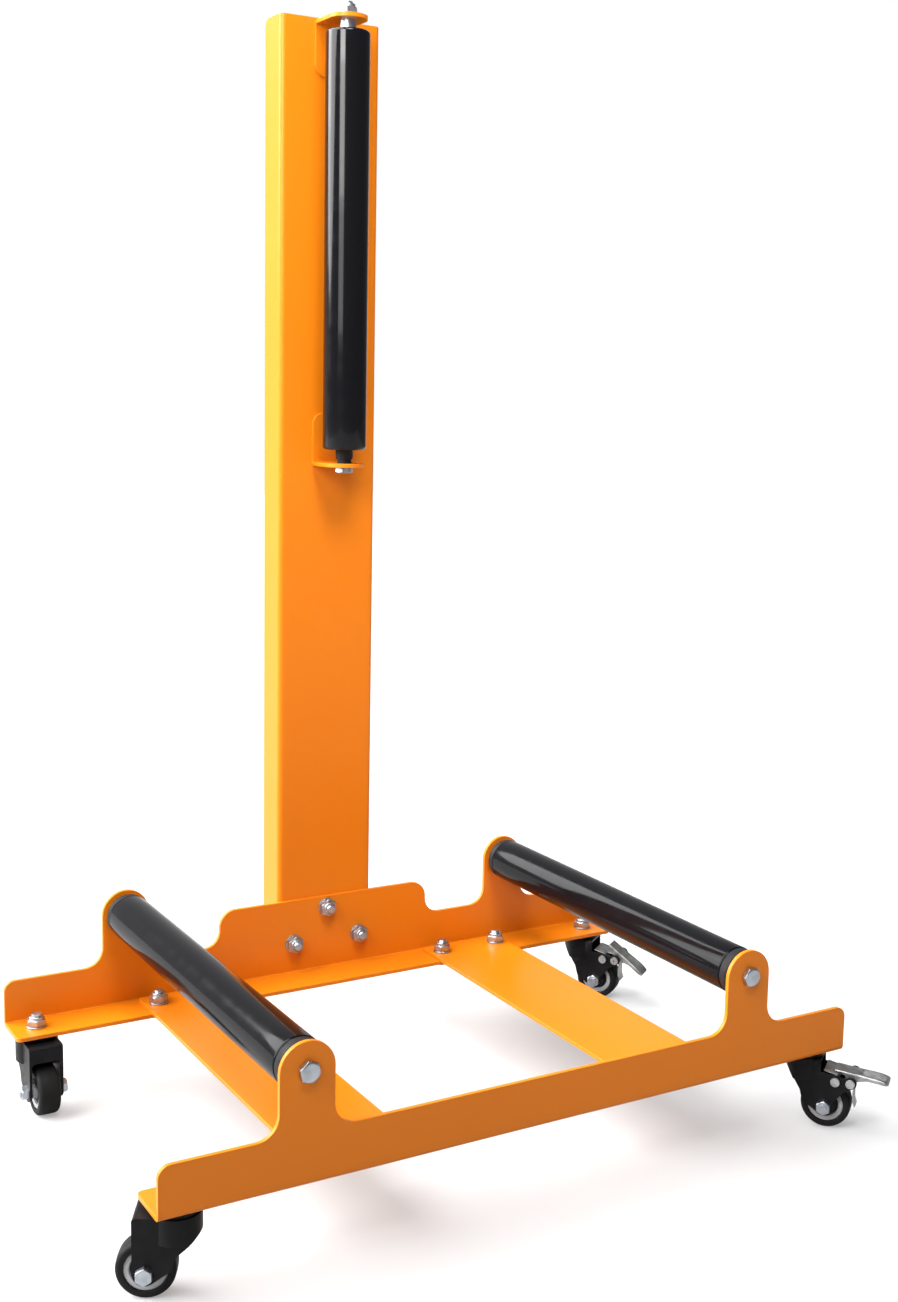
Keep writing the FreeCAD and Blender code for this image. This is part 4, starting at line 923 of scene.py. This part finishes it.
def add_graded_wall(name, bearing, distance, width, bottom, panels, radiance):
    """Panels stacked into a softbox that is brightest at its top; bearing is from -Y to -X."""
    angle = math.radians(bearing)
    foot = MAST_ROLLER_MIDDLE + distance * Vector((-math.sin(angle), -math.cos(angle), 0))
    for i in range(panels):
        height = bottom + PANEL_HEIGHT * (i + 0.5)
        share = (i + 1) / panels
        place = Vector((foot.x, foot.y, height))
        target = Vector((MAST_ROLLER_MIDDLE.x, MAST_ROLLER_MIDDLE.y, height))
        power = radiance * share ** PANEL_GRADE * math.pi * PANEL_HEIGHT * width
        add_light(f"{name}_{i}", place, target, (width, PANEL_HEIGHT), power, PANEL_SPREAD)


SUN_STRENGTH = 11.6
SUN_ANGLE = math.radians(75)
SUN_DIRECTION = Vector((0.68, -0.36, -0.66))


def add_sun():
    """A very wide sun from the upper left: even light over the whole floor and soft shadows."""
    data = bpy.data.lights.new("sun", "SUN")
    data.energy = SUN_STRENGTH
    data.angle = SUN_ANGLE
    sun = bpy.data.objects.new("sun", data)
    sun.rotation_euler = SUN_DIRECTION.to_track_quat("-Z", "Y").to_euler()
    bpy.context.scene.collection.objects.link(sun)


ROOM_DIM = 0.15
ROOM_BRIGHT = 0.8
FADE_START = 0.45            # y of the direction seen at which the room begins to brighten
FADE_STOP = 0.85             # and at which it is at its brightest


def add_world():
    """A white surround behind the dolly that falls off to a dim room in front of it."""
    world = bpy.data.worlds.new("studio")
    world.use_nodes = True
    tree = world.node_tree
    split = add_node(tree, "ShaderNodeSeparateXYZ")
    tree.links.new(add_node(tree, "ShaderNodeTexCoord").outputs["Generated"], split.inputs[0])
    room = spread(tree, split.outputs["Y"], ROOM_DIM, ROOM_BRIGHT, FADE_START, FADE_STOP)
    seen = add_node(tree, "ShaderNodeMath", operation="MAXIMUM")
    tree.links.new(room, seen.inputs[0])
    tree.links.new(add_node(tree, "ShaderNodeLightPath").outputs["Is Camera Ray"], seen.inputs[1])
    tree.links.new(seen.outputs[0], tree.nodes["Background"].inputs["Strength"])
    set_sockets(tree.nodes["Background"], {"Color": (1, 1, 1, 1)})
    bpy.context.scene.world = world


def add_lights():
    """The sun, a gridded softbox above and two graded softboxes that the rollers mirror."""
    add_sun()
    add_light("high_softbox", place=(-0.4, -1.2, 2.6), target=(0, 0.2, 0.9), size=(0.9, 0.9),
              power=6, spread_angle=50)
    add_graded_wall("front_left_softbox", bearing=52, distance=2.0, width=0.9, bottom=0.85,
                    panels=4, radiance=11)
    add_graded_wall("rear_left_softbox", bearing=128, distance=2.0, width=0.7, bottom=1.0,
                    panels=3, radiance=3)


CAMERA_PLACE = Vector((-0.7663, -1.3675, 0.7271))
CAMERA_YAW = math.radians(31.0)
CAMERA_PITCH = math.radians(8.2)
CAMERA_ROLL = math.radians(1.21)
CAMERA_LENS = 44.82
CAMERA_SENSOR = 36
CAMERA_SHIFT = (-0.0212, -0.0193)


def add_camera():
    """A camera at eye level in front and to the left, turned to the dolly by yaw and pitch."""
    data = bpy.data.cameras.new("camera")
    data.lens = CAMERA_LENS
    data.sensor_width = CAMERA_SENSOR
    data.shift_x, data.shift_y = CAMERA_SHIFT
    ahead = Vector((math.sin(CAMERA_YAW) * math.cos(CAMERA_PITCH),
                    math.cos(CAMERA_YAW) * math.cos(CAMERA_PITCH), -math.sin(CAMERA_PITCH)))
    right = Vector((math.cos(CAMERA_YAW), -math.sin(CAMERA_YAW), 0))
    top = right.cross(ahead)
    turned_right = right * math.cos(CAMERA_ROLL) + top * math.sin(CAMERA_ROLL)
    turned_top = top * math.cos(CAMERA_ROLL) - right * math.sin(CAMERA_ROLL)
    axes = Matrix((turned_right, turned_top, -ahead)).transposed().to_4x4()
    camera = bpy.data.objects.new("camera", data)
    camera.matrix_world = Matrix.Translation(CAMERA_PLACE) @ axes
    bpy.context.scene.collection.objects.link(camera)
    bpy.context.scene.camera = camera


bpy.context.scene.view_settings.view_transform = "Standard"
add_camera()
add_floor()
add_world()
add_lights()
dress_cad_nodes()
build_nuts()
build_bolts()
build_rollers()
build_wheels()
build_pedals()
build_brake_strips()
trim_forks()
